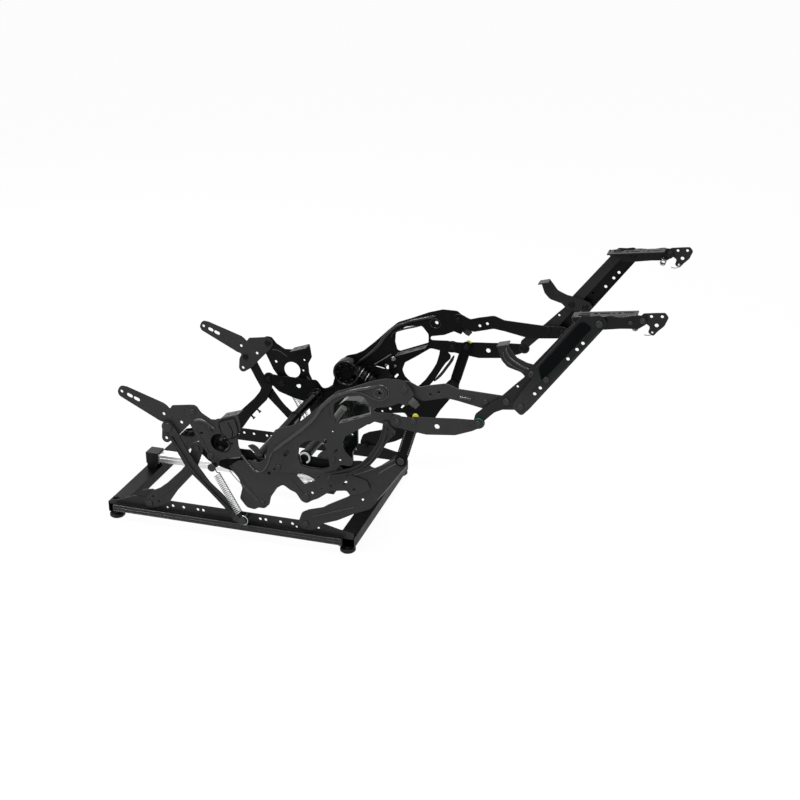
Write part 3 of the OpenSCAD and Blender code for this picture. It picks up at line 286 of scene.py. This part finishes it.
# painted highlight: light grey paint for strokes that stand for highlights along edges, ridges and
# rods
HIGHLIGHT_LINE = paint("paint_line", (0.075, 0.075, 0.073), 0.34, 0.4)
ZINC = metal("zinc", (0.60, 0.62, 0.64), 0.28, 0.45)
STEEL = metal("bare_steel", (0.30, 0.30, 0.295), 0.32)
SLEEVE = plastic("sleeve_grey", (0.085, 0.085, 0.080), 0.4, 0.3)
ALU = metal("aluminium", (0.80, 0.81, 0.80), 0.36, 0.12, along=(0.04, 1.0, 1.0))
PLASTIC = plastic("black_plastic", (0.005, 0.005, 0.0054), 0.42, 0.15)
MOTOR = plastic("motor_dark", (0.0030, 0.0050, 0.0042), 0.22, 0.3)
GREEN = plastic("green_plastic", (0.006, 0.16, 0.085), 0.4)
YELLOW = plastic("yellow_plastic", (0.50, 0.45, 0.03), 0.4)
RUBBER = plastic("rubber_grey", (0.045, 0.045, 0.043), 0.4, 0.3)
SPRING = {side: shaded_spring_zinc("spring_zinc_" + side, side) for side in SIDES}

LOOK = {
    "rear_crossmember": DEEP, "front_crossmember": DEEP, "glide_rear": PLASTIC,
    "glide_front": PLASTIC, "base_rail": BASE_RAIL, "rear_lift": LINK, "front_lift": LINK,
    "curved_link": LINK, "carriage_plate": GREY, "inner_plate": DEEP, "seat_rear": GREY,
    "seat_front": GREY, "brace": LINK, "cross_tube": BLACK, "torque_tube": BLACK, "clip": ZINC,
    "back_plate": PLATE, "lower_link": GREY, "knee_washer": GREEN, "drive_washer": YELLOW,
    "drive_channel": DEEP, "upper_link": GREY, "knee_link": KNEE, "foot_rail": FOOT_RAIL,
    "mid_bracket": ARM, "foot_bracket": BRACKET, "toe_plate": KNEE, "actuator_rail": ALU,
    "actuator_cap": PLASTIC, "actuator_motor": PLASTIC, "slide_block": PLASTIC,
    "push_link": BLACK, "hub_housing": BLACK, "seat_motor": MOTOR,
}


def kind_and_side(node):
    kind, _, side = node.rpartition("_")
    return (kind, side) if side in SIDES else (node, None)


for node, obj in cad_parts.items():
    kind, side = kind_and_side(node)
    obj.data.materials.clear()
    obj.data.materials.append(SPRING[side] if kind == "spring" else LOOK[kind])


# ---- Tools for detail pieces: millimetres in the side view, y outwards ----

def place(name, data, mat, body):
    obj = bpy.data.objects.new(name, data)
    bpy.context.scene.collection.objects.link(obj)
    data.materials.append(mat)
    bpy.context.view_layer.update()
    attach(obj, body)


def mesh_piece(name, bm, mat, body, smooth=True):
    bmesh.ops.recalc_face_normals(bm, faces=bm.faces)
    me = bpy.data.meshes.new(name)
    bm.to_mesh(me)
    bm.free()
    for p in me.polygons:
        p.use_smooth = smooth
    place(name, me, mat, body)


def smooth_path(pts, steps, closed):
    """Catmull-Rom points through pts."""
    pts = [Vector(p) for p in pts]
    n = len(pts)
    if n < 3:
        return pts
    out = []
    for i in range(n if closed else n - 1):
        a, b, c, d = (pts[(i + k) % n] if closed else pts[min(max(i + k, 0), n - 1)]
                      for k in (-1, 0, 1, 2))
        for j in range(steps):
            t = j / steps
            out.append(0.5 * (2 * b + (c - a) * t + (2 * a - 5 * b + 4 * c - d) * t * t
                              + (3 * b - a - 3 * c + d) * t ** 3))
    if not closed:
        out.append(pts[-1])
    return out


def tube(name, pts, r, mat, body, side, closed=False, steps=4, taper=False):
    """A round bead or wire of radius r through pts; taper thins its ends."""
    c = bpy.data.curves.new(name, "CURVE")
    c.dimensions = "3D"
    c.bevel_depth = r * MM
    c.bevel_resolution = 3
    c.use_fill_caps = True
    run = smooth_path(pts, steps, closed)
    sp = c.splines.new("POLY")
    sp.points.add(len(run) - 1)
    for k, p in enumerate(run):
        sp.points[k].co = (*at(p, side), 1)
        if taper:
            sp.points[k].radius = min(1.0, 0.45 + 0.2 * min(k, len(run) - 1 - k))
    sp.use_cyclic_u = closed
    place(name, c, mat, body)


def stroke(name, pts, y, r, mat, body, side, **shape):
    """A tube through points [x, z] that all lie y from the middle plane."""
    tube(name, [(x, y, z) for x, z in pts], r, mat, body, side, **shape)


def bead(name, pts, y, r, body, mat=GLOSS, **shape):
    """The same stroke on both sides."""
    for side in SIDES:
        stroke("%s_%s" % (name, side), pts, y, r, mat, body, side, **shape)


def circle(centre, radius, count, phase=0.0):
    """Points around a centre; radius is one number, or a pair for an ellipse."""
    rx, rz = radius if isinstance(radius, tuple) else (radius, radius)
    turn = [2 * math.pi * (k + phase) / count for k in range(count)]
    return [(centre[0] + rx * math.cos(a), centre[1] + rz * math.sin(a)) for a in turn]


def skin(bm, rings):
    """Faces between neighbouring rings of vertices; a ring of one vertex is a tip."""
    for a, b in zip(rings, rings[1:]):
        n = max(len(a), len(b))
        for k in range(n):
            j = (k + 1) % n
            if len(a) == 1:
                bm.faces.new((a[0], b[k], b[j]))
            elif len(b) == 1:
                bm.faces.new((a[k], b[0], a[j]))
            else:
                bm.faces.new((a[k], b[k], b[j], a[j]))


def lathe(bm, centre, y, profile, side, way=1, seg=28):
    """Turned shape about a pivot; profile holds (radius, height), way -1 turns it inwards."""
    skin(bm, [[bm.verts.new(at((px, y + way * h, pz), side))
               for px, pz in (circle(centre, r, seg) if r else [centre])] for r, h in profile])


def prism(bm, outline, y0, y1, side):
    """Sheet with the outline [x, z] between two distances from the middle plane."""
    a, b = ([bm.verts.new(at((x, y, z), side)) for x, z in outline] for y in (y0, y1))
    bm.faces.new(a)
    bm.faces.new(list(reversed(b)))
    skin(bm, [a, b])


def rounded(pts, r, steps=4):
    """Outline with each corner cut back by r and rounded."""
    out = []
    n = len(pts)
    for i in range(n):
        p, a, c = Vector(pts[i]), Vector(pts[i - 1]), Vector(pts[(i + 1) % n])
        u, v = (a - p), (c - p)
        q = min(r, 0.45 * u.length, 0.45 * v.length)
        s, e = p + u.normalized() * q, p + v.normalized() * q
        for k in range(steps + 1):
            t = k / steps
            out.append(tuple((1 - t) ** 2 * s + 2 * t * (1 - t) * p + t * t * e))
    return out


def head(r, h=1.6):
    """Profile of a peened rivet head with a turned ring."""
    return [(0, h * 0.55), (r * 0.2, h * 0.55), (r * 0.27, h), (r * 0.42, h), (r * 0.5, h * 0.45),
            (r * 0.66, h * 0.45), (r * 0.74, h * 0.9), (r * 0.92, h * 0.6), (r * 1.04, 0),
            (r * 1.04, -0.8)]


# ---- Rivet heads: pivot, y of the face, head radius, by body, outer ends and inner ends ----

RIVETS_OUT = {
    "base": [(REAR_LIFT_LOW, 243.9, 8), (FRONT_LIFT_LOW, 243.9, 8), (CURVED_LOW, 257.4, 8),
             (SPRING_LOW, 273, 10)],
    "front_lift": [(CHANNEL_LOW, 248.9, 9)],
    "carriage": [(REAR_LIFT_TOP, 243.4, 7), (FRONT_LIFT_TOP, 243.4, 7), ((103, 112), 248.2, 7),
                 ((220, 147), 248.2, 9), (BACK_PIVOT, SEAT_FACE, 8), (BACK_STUD, SEAT_FACE, 8),
                 (LOWER_LINK, 257.3, 8), (UPPER_LINK, SEAT_FACE, 8), ((152, 221), SEAT_FACE, 6),
                 ((296, 262), SEAT_FACE, 6), ((431, 376), 256.5, 5), ((284, 213), 256.5, 6),
                 (SPRING_TOP, 273, 10)],
    "back": [(CURVED_TOP, 257.3, 12)],
    "lower_link": [(CHANNEL_TOP, 257, 8), (KNEE_LOW, 257, 8)],
    "upper_link": [((667, 457), 242.5, 6), (KNEE_TOP, 250.8, 8), (RAIL_LOW, 263.3, 8)],
    "knee_link": [(MID_KNEE, 250.5, 8)],
    "mid_bracket": [(MID_RAIL, 263.3, 7)],
    "foot_bracket": [(BRACKET_KNEE, 257, 7), (RAIL_TOP, 263.3, 8), ((986, 690), 257, 5),
                     (TOE_PIVOT, 257, 6.5)],
}
RIVETS_IN = {
    "base": [(REAR_LIFT_LOW, 227.5, 8), (FRONT_LIFT_LOW, 227.5, 8), (CURVED_LOW, 230.5, 8)],
    "front_lift": [(CHANNEL_LOW, 236.5, 8)],
    "carriage": [(REAR_LIFT_TOP, 231.5, 8), (FRONT_LIFT_TOP, 231.5, 8), (BACK_PIVOT, 241.2, 8),
                 (BACK_STUD, 231.5, 9), (LOWER_LINK, 245.5, 8), (UPPER_LINK, 235.2, 8)],
    "back": [(CURVED_TOP, 241.5, 8)],
    "lower_link": [(CHANNEL_TOP, 241.2, 8), (KNEE_LOW, 243.2, 10)],
    "upper_link": [(KNEE_TOP, 235.5, 8), (RAIL_LOW, 235.5, 8)],
    "knee_link": [(MID_KNEE, 239.1, 8)],
    "mid_bracket": [(MID_RAIL, 239.4, 8)],
    "foot_bracket": [(RAIL_TOP, 250, 8), (BRACKET_KNEE, 243.2, 7)],
}
for side in SIDES:
    for body in RIVETS_OUT:
        # painted shade: the inner ends of the rivets are black, like the faces turned to the middle
        for end, table, way, mat in (("out", RIVETS_OUT, 1, HEAD), ("in", RIVETS_IN, -1, BLACK)):
            bm = bmesh.new()
            for p, y, r in table[body]:
                lathe(bm, p, y, head(r), side, way)
            mesh_piece("rivets_%s_%s_%s" % (end, body, side), bm, mat, body)

# ---- Rolled edges, pressed beads and creases on both sides ----

bead("seat_roll", [(141, 264), (164, 286), (192, 310), (223, 338), (249, 366), (266, 393),
                   (282, 411), (303, 430), (325, 440), (347, 450), (387, 462), (411, 470)],
     249.8, 5.2, "carriage", taper=True)
bead("seat_drop", [(405, 470), (424, 471), (435, 463), (437, 451), (430, 440), (416, 433),
                   (400, 435), (382, 443), (364, 447), (345, 445)], 250.6, 2.2, "carriage")
bead("boss_ring", circle((414, 451), 11, 12), 252.9, 1.6, "carriage", closed=True)
bead("wave_bead", [(40, 252), (50, 241), (66, 222), (78, 208), (88, 199), (99, 198)], 246.6, 3.4,
     "carriage", taper=True)
bead("wave_bead_top", [(104, 201), (115, 211), (125, 230), (131, 248), (138, 262)], 250.6, 3.2,
     "carriage", taper=True)
bead("rear_roll", [(-66, 316), (-57, 321), (-40, 319), (-22, 308), (-12, 300)], 250.8, 3.8,
     "carriage", taper=True)
bead("rear_crease", [(20, 328), (19, 312), (24, 300)], 250.5, 1.1, "carriage")
bead("lobe_line", [(17, 190), (36, 168), (55, 150), (88, 116)], 246.2, 1.0, "carriage")
bead("lift_line", [(240, 94), (290, 114), (345, 135)], 241.9, 1.1, "front_lift", HIGHLIGHT_LINE)
bead("lift_arm_line", [(408, 236), (430, 254), (453, 270)], 241.9, 1.1, "front_lift", HIGHLIGHT_LINE)
# painted shade: a dark stroke down the middle of the curved link's channel
bead("link_groove_shade", [(-130, 268), (-109, 236), (-80, 188), (-43, 147), (-1, 107), (23, 83)],
     255.2, 2.2, "curved_link", DEEP)
bead("link_rim_out", [(-150, 284), (-133, 257), (-118, 229), (-91, 182), (-48, 140), (5, 87),
                      (22, 66)], 255.0, 1.5, "curved_link", LINK)
bead("link_rim_in", [(-116, 280), (-98, 244), (-66, 195), (-36, 155), (-6, 128), (19, 103),
                     (38, 80)], 255.0, 1.5, "curved_link", LINK)
bead("brace_rim_out", [(426, 372), (419, 344), (408, 315), (390, 286), (369, 261), (340, 243),
                       (300, 228)], 254.6, 1.6, "carriage", LINK)
bead("brace_rim_in", [(449, 352), (436, 335), (421, 310), (405, 284), (385, 259), (362, 244),
                      (330, 225)], 254.6, 1.6, "carriage", LINK)
bead("upper_link_bead", [(606, 461.5), (620, 461), (633, 459)], 242.0, 3.2, "upper_link")
for k, (z, y, r) in enumerate(((43.5, 250.6, 1.4), (36.0, 250.9, 1.0), (28.0, 250.6, 1.5))):
    bead("rail_lip_%d" % k, [(-316, z), (-60, z), (200, z), (312, z)], y, r, "base")


# ---- Drive channel: dots and rims along both flanges ----

def frame_of(low, top):
    """Function from (along, across) to [x, z] for a bar between two pivots."""
    low = Vector(low)
    way = (Vector(top) - low).normalized()
    across = Vector((-way.y, way.x))
    return lambda s, t: tuple(low + way * s + across * t)


channel_pt = frame_of(CHANNEL_LOW, CHANNEL_TOP)
DOT = [(0, 1.6), (1.2, 1.3), (1.9, 0.3), (1.9, -0.4)]
for side in SIDES:
    bm = bmesh.new()
    for across in (-10.8, 10.8):
        for k in range(13):
            lathe(bm, channel_pt(24 + k * 5.6, across), 246.4, DOT, side, 1, 10)
    # painted highlight on the near dots in light paint, painted shade on the far dots in black
    # glossy paint
    mesh_piece("channel_dots_" + side, bm, HIGHLIGHT_LINE if side == "right" else SHINE, "drive_channel")
    for k, across in enumerate((-13.0, 13.0)):
        stroke("channel_rim_%d_%s" % (k, side), [channel_pt(20, across), channel_pt(96, across)],
               245, 1.3, GLOSS, "drive_channel", side)

# ---- Foot rail: dark raised panel, folded edge, dark stroke of painted shade along a groove ----

rail_pt = frame_of(RAIL_LOW, RAIL_TOP)
RAIL_PANEL = [(84, 8), (102, 31), (248, 34), (256, 26), (256, 6), (96, 4)]
RAIL_LINES = (
    ("rail_fold", [(94, 34.5), (170, 37.2), (258, 39.2)], 260.4, 2.0, SHINE),
    # painted shade: the groove stroke is dark paint standing for the shade in the groove
    ("rail_groove_shade", [(44, 4), (92, 4), (170, 3.5), (250, 4)], 261.2, 1.3, SHINE),
    ("rail_edge", [(18, -14), (130, -12.5), (262, -10.5)], 260.2, 1.2, HEAD),
)
for side in SIDES:
    bm = bmesh.new()
    prism(bm, rounded([rail_pt(*q) for q in RAIL_PANEL], 6), 260.9, 262.6, side)
    mesh_piece("rail_panel_" + side, bm, PANEL if side == "right" else NIGHT, "foot_rail", False)
    for name, pts, y, r, mat in RAIL_LINES:
        # painted shade: the far side's strokes are black where the near side's are glossy or grey
        stroke("%s_%s" % (name, side), [rail_pt(*q) for q in pts], y, r,
               mat if side == "right" else BLACK, "foot_rail", side)

# ---- Top footrest bracket: wavy rolled edge, curl, toe spring ----

WAVE_STEPS = 16
COIL_C, COIL_R, COIL_Y, COIL_LENGTH, TURNS, PER_TURN = (996, 677), 6.4, 251, 20, 7, 14
for side in SIDES:
    wave = [(860 + 138 * k / WAVE_STEPS, 255.4 - 0.8 * math.cos(k * 1.2),
             691 + 18.0 * k / WAVE_STEPS - 2.6 + 1.4 * math.sin(k * 0.9))
            for k in range(WAVE_STEPS + 1)]
    tube("flange_roll_" + side, wave, 2.2, SHINE, "foot_bracket", side)
    tube("flange_curl_" + side, [(862, 253, 692), (859, 254.5, 688), (862, 255.6, 680),
                                 (870, 256, 676), (880, 256, 682), (894, 256.2, 688),
                                 (909, 255.8, 688)], 1.5, SHINE, "foot_bracket", side)
    once = circle(COIL_C, COIL_R, PER_TURN)
    coil = []
    for k in range(TURNS * PER_TURN + 1):
        x, z = once[k % PER_TURN]
        coil.append((x, COIL_Y - COIL_LENGTH * k / (TURNS * PER_TURN), z))
    tube("toe_coil_" + side, coil, 1.15, STEEL, "foot_bracket", side, steps=1)
    tube("toe_wire_" + side, [(1016, 247, 663), (1024, 245.4, 662), (1032, 245.2, 664.5),
                              (1036.5, 246, 670), (1033.5, 248.5, 673.6), (1030.6, 250.4, 671)],
         1.1, STEEL, "toe_" + side, side)

# ---- Mid bracket: two pressed ridges ----

MID_RIDGE = [(712, 598), (714, 588), (722, 575), (736, 565), (754, 556), (776, 549)]
MID_EDGE = [(705, 586), (709, 573), (720, 560), (738, 551), (756, 545)]
for side in SIDES:
    # painted shade: the far ridges are black where the near ones take glossy grey paint
    mat = GLOSS if side == "right" else BLACK
    stroke("mid_ridge_" + side, MID_RIDGE, 244.8, 3.4, mat, "mid_bracket", side, taper=True)
    stroke("mid_edge_" + side, MID_EDGE, 244.4, 1.6, mat, "mid_bracket", side)

# ---- Bolts at the base corners ----

BOLT_HEAD = ((7.0, 0), (7.0, 4.5), (5.74, 5.5))  # (radius, height)
BOLT_WASHER = ((9.5, 0), (9.5, 1.2), (6, 1.4))
BOLT_Y, BOLT_Z = 215, 44.5
CROSSMEMBER_X, CROSSMEMBER_W = (-338, 300), 38


def hex_bolt(bm, x, side):
    """Hexagon head and washer, standing on the crossmember."""
    for profile, count, phase in ((BOLT_HEAD, 6, 0.2), (BOLT_WASHER, 20, 0.0)):
        rings = [[bm.verts.new(at((px, py, BOLT_Z + h), side))
                  for px, py in circle((x, BOLT_Y), r, count, phase)] for r, h in profile]
        skin(bm, rings)
        if profile is BOLT_HEAD:
            bm.faces.new(rings[-1])


for side in SIDES:
    bm = bmesh.new()
    for x in CROSSMEMBER_X:
        for share in (0.28, 0.72):
            hex_bolt(bm, x + CROSSMEMBER_W * share, side)
    mesh_piece("corner_bolts_" + side, bm, DEEP, "base", False)

# ---- Collars on the two round tubes ----

COLLAR = [(12.4, -4), (15, -3.6), (15.6, 0), (15, 3.6), (12.4, 4)]
for side in SIDES:
    bm = bmesh.new()
    for p in ((78, 215), (203, 235)):
        for y in (226, 196, 60):
            lathe(bm, p, y, COLLAR, side)
    mesh_piece("tube_collars_" + side, bm, BLACK, "carriage")

# ---- Hub on the far seat plate: rim, bolts, rings of its drum ----

HUB = (170, 293)
bm = bmesh.new()
lathe(bm, HUB, 208, [(31.5, 0.6), (32.5, -1.6), (34, -2.4), (35.6, -1.6), (36.4, 0.6)], "left")
for p in circle(HUB, 25, 8):
    lathe(bm, p, 211, [(0, -3.4), (1.6, -3.2), (2.6, -2), (2.8, 0.4)], "left", 1, 12)
mesh_piece("hub_face", bm, SHINE, "carriage")

DRUM, DRUM_WAY, DRUM_UP = Vector((197, 305)), Vector((0.869, -0.495)), Vector((0.495, 0.869))
DRUM_Y, DRUM_R = 216, 14.2
for k, h in enumerate((8.5, 18, 28.5, 38, 48.5)):
    ring = []
    for y, up in circle((DRUM_Y, 0), DRUM_R, 20):
        p = DRUM + DRUM_WAY * h + DRUM_UP * up
        ring.append((p.x, y, p.y))
    tube("drum_ring_%d" % k, ring, 1.5, STEEL if k % 2 else SHINE, "carriage", "left",
         closed=True, steps=2)

# ---- Seat motor: end rings, screws, ribs, sleeve ----

MOTOR_C, GEAR_C = (338, 360), (298, 350)
bm = bmesh.new()
for r in (20, 13):
    ridge = [(r - 1.8, -0.6), (r - 1.3, 1.4), (r, 2.0), (r + 1.3, 1.4), (r + 1.8, -0.6)]
    lathe(bm, MOTOR_C, 164, ridge, "right")
for p in circle(GEAR_C, 11, 4, 0.5):
    lathe(bm, p, 161, head(3), "right", 1, 16)
for p in ((284, 330), (284, 362), (318, 328), (318, 376)):
    lathe(bm, p, 158, head(3.4, 1.8), "right", 1, 16)
mesh_piece("motor_face", bm, MOTOR, "carriage")
for k in range(3):
    stroke("motor_rib_%d" % k, circle(MOTOR_C, 23.6, 24), 106 + 9 * k, 1.2, MOTOR, "carriage",
           "right", closed=True, steps=1)
stroke("motor_sleeve", [(268, 322), (280, 341), (297, 366)], 172, 9.5, SLEEVE, "carriage",
       "right", steps=2)

# ---- Far seat plate, its face turned to the middle: boss, rib, painted highlight line, brace edge, bolts ----

stroke("far_boss", circle((411, 449), (15, 13), 20), 247, 1.8, SHINE, "carriage", "left",
       closed=True, steps=2)
stroke("far_rib", [(288, 392), (291, 404), (298, 413), (321, 423), (345, 431), (372, 439)], 247,
       2.6, SHINE, "carriage", "left", taper=True)
# painted highlight: a light line along an edge
stroke("far_edge_highlight", [(240, 313), (265, 331), (289, 349)], 242.8, 1.4, HIGHLIGHT_LINE, "carriage", "left")
stroke("far_brace_roll", [(463, 362), (455, 345), (444, 328), (428, 304), (409, 282)], 249.5, 4.2,
       SHINE, "carriage", "left", taper=True)
bm = bmesh.new()
for p, r in (((294, 336), 7), ((274, 315), 4), ((300, 316), 4)):
    lathe(bm, p, 243.2, head(r, 2.6), "left", -1, 18)
mesh_piece("far_bolts", bm, STEEL, "carriage", False)

# ---- Near rear seat plate: latch pieces behind its hole, folded box with dark outlines of painted shade, rolled lobe with a painted highlight ----

bm = bmesh.new()
for outline, y1 in (([(-8, 270), (-2, 266), (9, 282), (2, 288)], 243),
                    ([(12, 268), (18, 262), (30, 268), (24, 276)], 244),
                    ([(-14, 246), (-4, 238), (4, 246), (-6, 254)], 243)):
    prism(bm, rounded(outline, 2), 237, y1, "right")
mesh_piece("latch_blocks", bm, HEAD, "carriage", False)
stroke("latch_rod", [(-8, 229), (6, 241), (18, 253), (32, 266)], 245, 2.0, HIGHLIGHT_LINE, "carriage",
       "right")
stroke("latch_bar", [(-4, 224), (10, 236), (22, 248), (36, 261)], 243, 2.6, SHINE, "carriage",
       "right")
BOX = [(-1, 322), (22, 332), (40, 338), (49, 304), (44, 291), (22, 280), (4, 296)]
GUSSET = [(66, 262), (80, 268), (93, 262), (106, 240), (96, 236)]
bm = bmesh.new()
prism(bm, rounded(BOX, 4), 250.4, 252.4, "right")
prism(bm, rounded(GUSSET, 4), 236.6, 239, "right")
mesh_piece("seat_gussets", bm, GREY, "carriage", False)
# painted shade: dark strokes outline the box, its crease and the hole, where the steps are in shade
for name, pts, y, r, mat, shape in (
        ("box_line", [(23, 325), (34, 303), (32, 286)], 252.6, 1.2, DEEP, {}),
        ("box_edge_shade", BOX, 251.6, 1.4, DEEP, {"closed": True, "steps": 2}),
        ("hole_edge_shade", circle((5, 262), 20.5, 20), 250.6, 1.2, DEEP, {"closed": True, "steps": 1}),
        ("lobe_roll", [(-68, 318), (-57, 322), (-47, 322), (-36, 317)], 251, 3.4, HIGHLIGHT_LINE,
         {"taper": True}),
        ("lobe_shade", [(-40, 314), (-33, 309), (-26, 300), (-20, 292)], 251.6, 2.6, SHINE,
         {"taper": True})):
    stroke(name, pts, y, r, mat, "carriage", "right", **shape)
tube("latch_wire", [(20, 248, 226), (34, 249, 229), (50, 249, 233)], 2.0, HIGHLIGHT_LINE, "carriage",
     "right")

# ---- Near front lift: painted highlights along the edges of its arm, and strips behind the slot beside it ----

stroke("lift_edge", [(292, 204), (346, 224), (393, 246), (451, 281)], 241.6, 0.9, HIGHLIGHT_LINE,
       "front_lift", "right")
stroke("lift_front", [(480, 268), (455, 234), (430, 198), (404, 164)], 240, 1.8, HIGHLIGHT_LINE,
       "front_lift", "right")
for k, pts in enumerate(([(214, 185), (228, 188), (243, 191)],
                         [(286, 216), (294, 219), (302, 223)])):
    stroke("bright_strip_%d" % k, pts, 241.5, 1.9, ZINC, "carriage", "right")

# ---- Rubber stop at the front end of the seat plates ----

STOP_AT, STOP_WAY, STOP_UP = Vector((489, 443)), Vector((0.77, -0.64)), Vector((0.64, 0.77))
STOP_Y, STOP_FLATNESS = 249, 0.36
for side in SIDES:
    bm = bmesh.new()
    rings = []
    for h, r in ((0, 9), (1, 10), (17, 10), (17.2, 8.5), (22, 8.5), (23.5, 7), (23.5, 0.5)):
        rings.append([])
        for y, up in circle((STOP_Y, 0), (STOP_FLATNESS * r, r), 24):
            p = STOP_AT + STOP_WAY * h + STOP_UP * up
            rings[-1].append(bm.verts.new(at((p.x, y, p.y), side)))
    skin(bm, rings)
    bm.faces.new(rings[-1])
    # painted shade: the far stop is black glossy paint in place of the grey rubber of the near one
    mesh_piece("end_stop_" + side, bm, RUBBER if side == "right" else SHINE, "carriage")

# ---- Hook rings at the low ends of the springs ----

HOOK_R, HOOK_FROM, HOOK_TO, HOOK_STEPS = 12.2, -110, 95, 12
hook = []
for k in range(HOOK_STEPS + 1):
    a = math.radians(HOOK_FROM + (HOOK_TO - HOOK_FROM) * k / HOOK_STEPS)
    hook.append((SPRING_LOW[0] + HOOK_R * math.cos(a), SPRING_LOW[1] + HOOK_R * math.sin(a)))
bead("spring_hook_low", hook, SPRING_Y + 1, 1.4, "base", ZINC)


# ---- Stage, light and camera ----

FLOOR_WHITE, WORLD_SEEN, WORLD_LIGHT = 0.95, 1.0, 0.6


def seen_rays(nt):
    """1 for rays that see a surface directly or in a reflection, 0 for its light."""
    lp = nt.nodes.new("ShaderNodeLightPath")
    out = lp.outputs["Is Camera Ray"]
    for name in ("Is Glossy Ray", "Is Transmission Ray"):
        out = calc(nt, "MAXIMUM", out, lp.outputs[name], clamp=False)
    return out


def stage_mat():
    m = bpy.data.materials.new("floor")
    m.use_nodes = True
    nt = m.node_tree
    nt.nodes.clear()
    out = nt.nodes.new("ShaderNodeOutputMaterial")
    dif = nt.nodes.new("ShaderNodeBsdfDiffuse")
    dif.inputs["Color"].default_value = (0.85, 0.85, 0.85, 1)
    em = nt.nodes.new("ShaderNodeEmission")
    em.inputs["Strength"].default_value = 1.0
    mix = nt.nodes.new("ShaderNodeMixShader")
    nt.links.new(calc(nt, "MULTIPLY", seen_rays(nt), FLOOR_WHITE, clamp=False), mix.inputs["Fac"])
    nt.links.new(dif.outputs[0], mix.inputs[1])
    nt.links.new(em.outputs[0], mix.inputs[2])
    nt.links.new(mix.outputs[0], out.inputs["Surface"])
    return m


bpy.ops.mesh.primitive_plane_add(size=30, location=(0, 0, 0))
floor = bpy.context.object
floor.name = "floor"
floor.data.materials.append(stage_mat())

world = bpy.data.worlds.new("studio")
bpy.context.scene.world = world
world.use_nodes = True
nt = world.node_tree
bg = nt.nodes["Background"]
bg.inputs["Color"].default_value = (1, 1, 1, 1)
level = nt.nodes.new("ShaderNodeMapRange")
level.inputs["To Min"].default_value = WORLD_LIGHT
level.inputs["To Max"].default_value = WORLD_SEEN
nt.links.new(seen_rays(nt), level.inputs["Value"])
nt.links.new(level.outputs["Result"], bg.inputs["Strength"])

LAMP_AIM = Vector((0, 0, 0.3))
for name, loc, size, power in (("top", (-0.4, -0.6, 3.2), (1.3, 0.9), 90),
                               ("front", (1.5, -3.5, 1.8), (1.0, 0.8), 30),
                               ("rear", (-2.5, 2.0, 2.2), (1.0, 1.0), 30),
                               ("left", (-1.9, -1.8, 2.4), (0.6, 0.6), 22)):
    lamp = bpy.data.lights.new(name, "AREA")
    lamp.shape = "RECTANGLE"
    lamp.size, lamp.size_y = size
    lamp.energy = power
    obj = bpy.data.objects.new(name, lamp)
    bpy.context.scene.collection.objects.link(obj)
    obj.location = loc
    obj.rotation_euler = (LAMP_AIM - Vector(loc)).to_track_quat("-Z", "Y").to_euler()

CAM_X, CAM_Y, CAM_Z = 1.3249, -3.0673, 1.7193
CAM_DOWN, CAM_TURN = 23.47, 16.99
lens = bpy.data.cameras.new("camera")
lens.lens = 61.86
lens.sensor_width = 36
lens.clip_end = 100
cam = bpy.data.objects.new("camera", lens)
bpy.context.scene.collection.objects.link(cam)
cam.location = (CAM_X + X_SHIFT, CAM_Y, CAM_Z)
cam.rotation_euler = (math.radians(90 - CAM_DOWN), 0, math.radians(CAM_TURN))
bpy.context.scene.camera = cam
bpy.context.scene.view_settings.view_transform = "Standard"
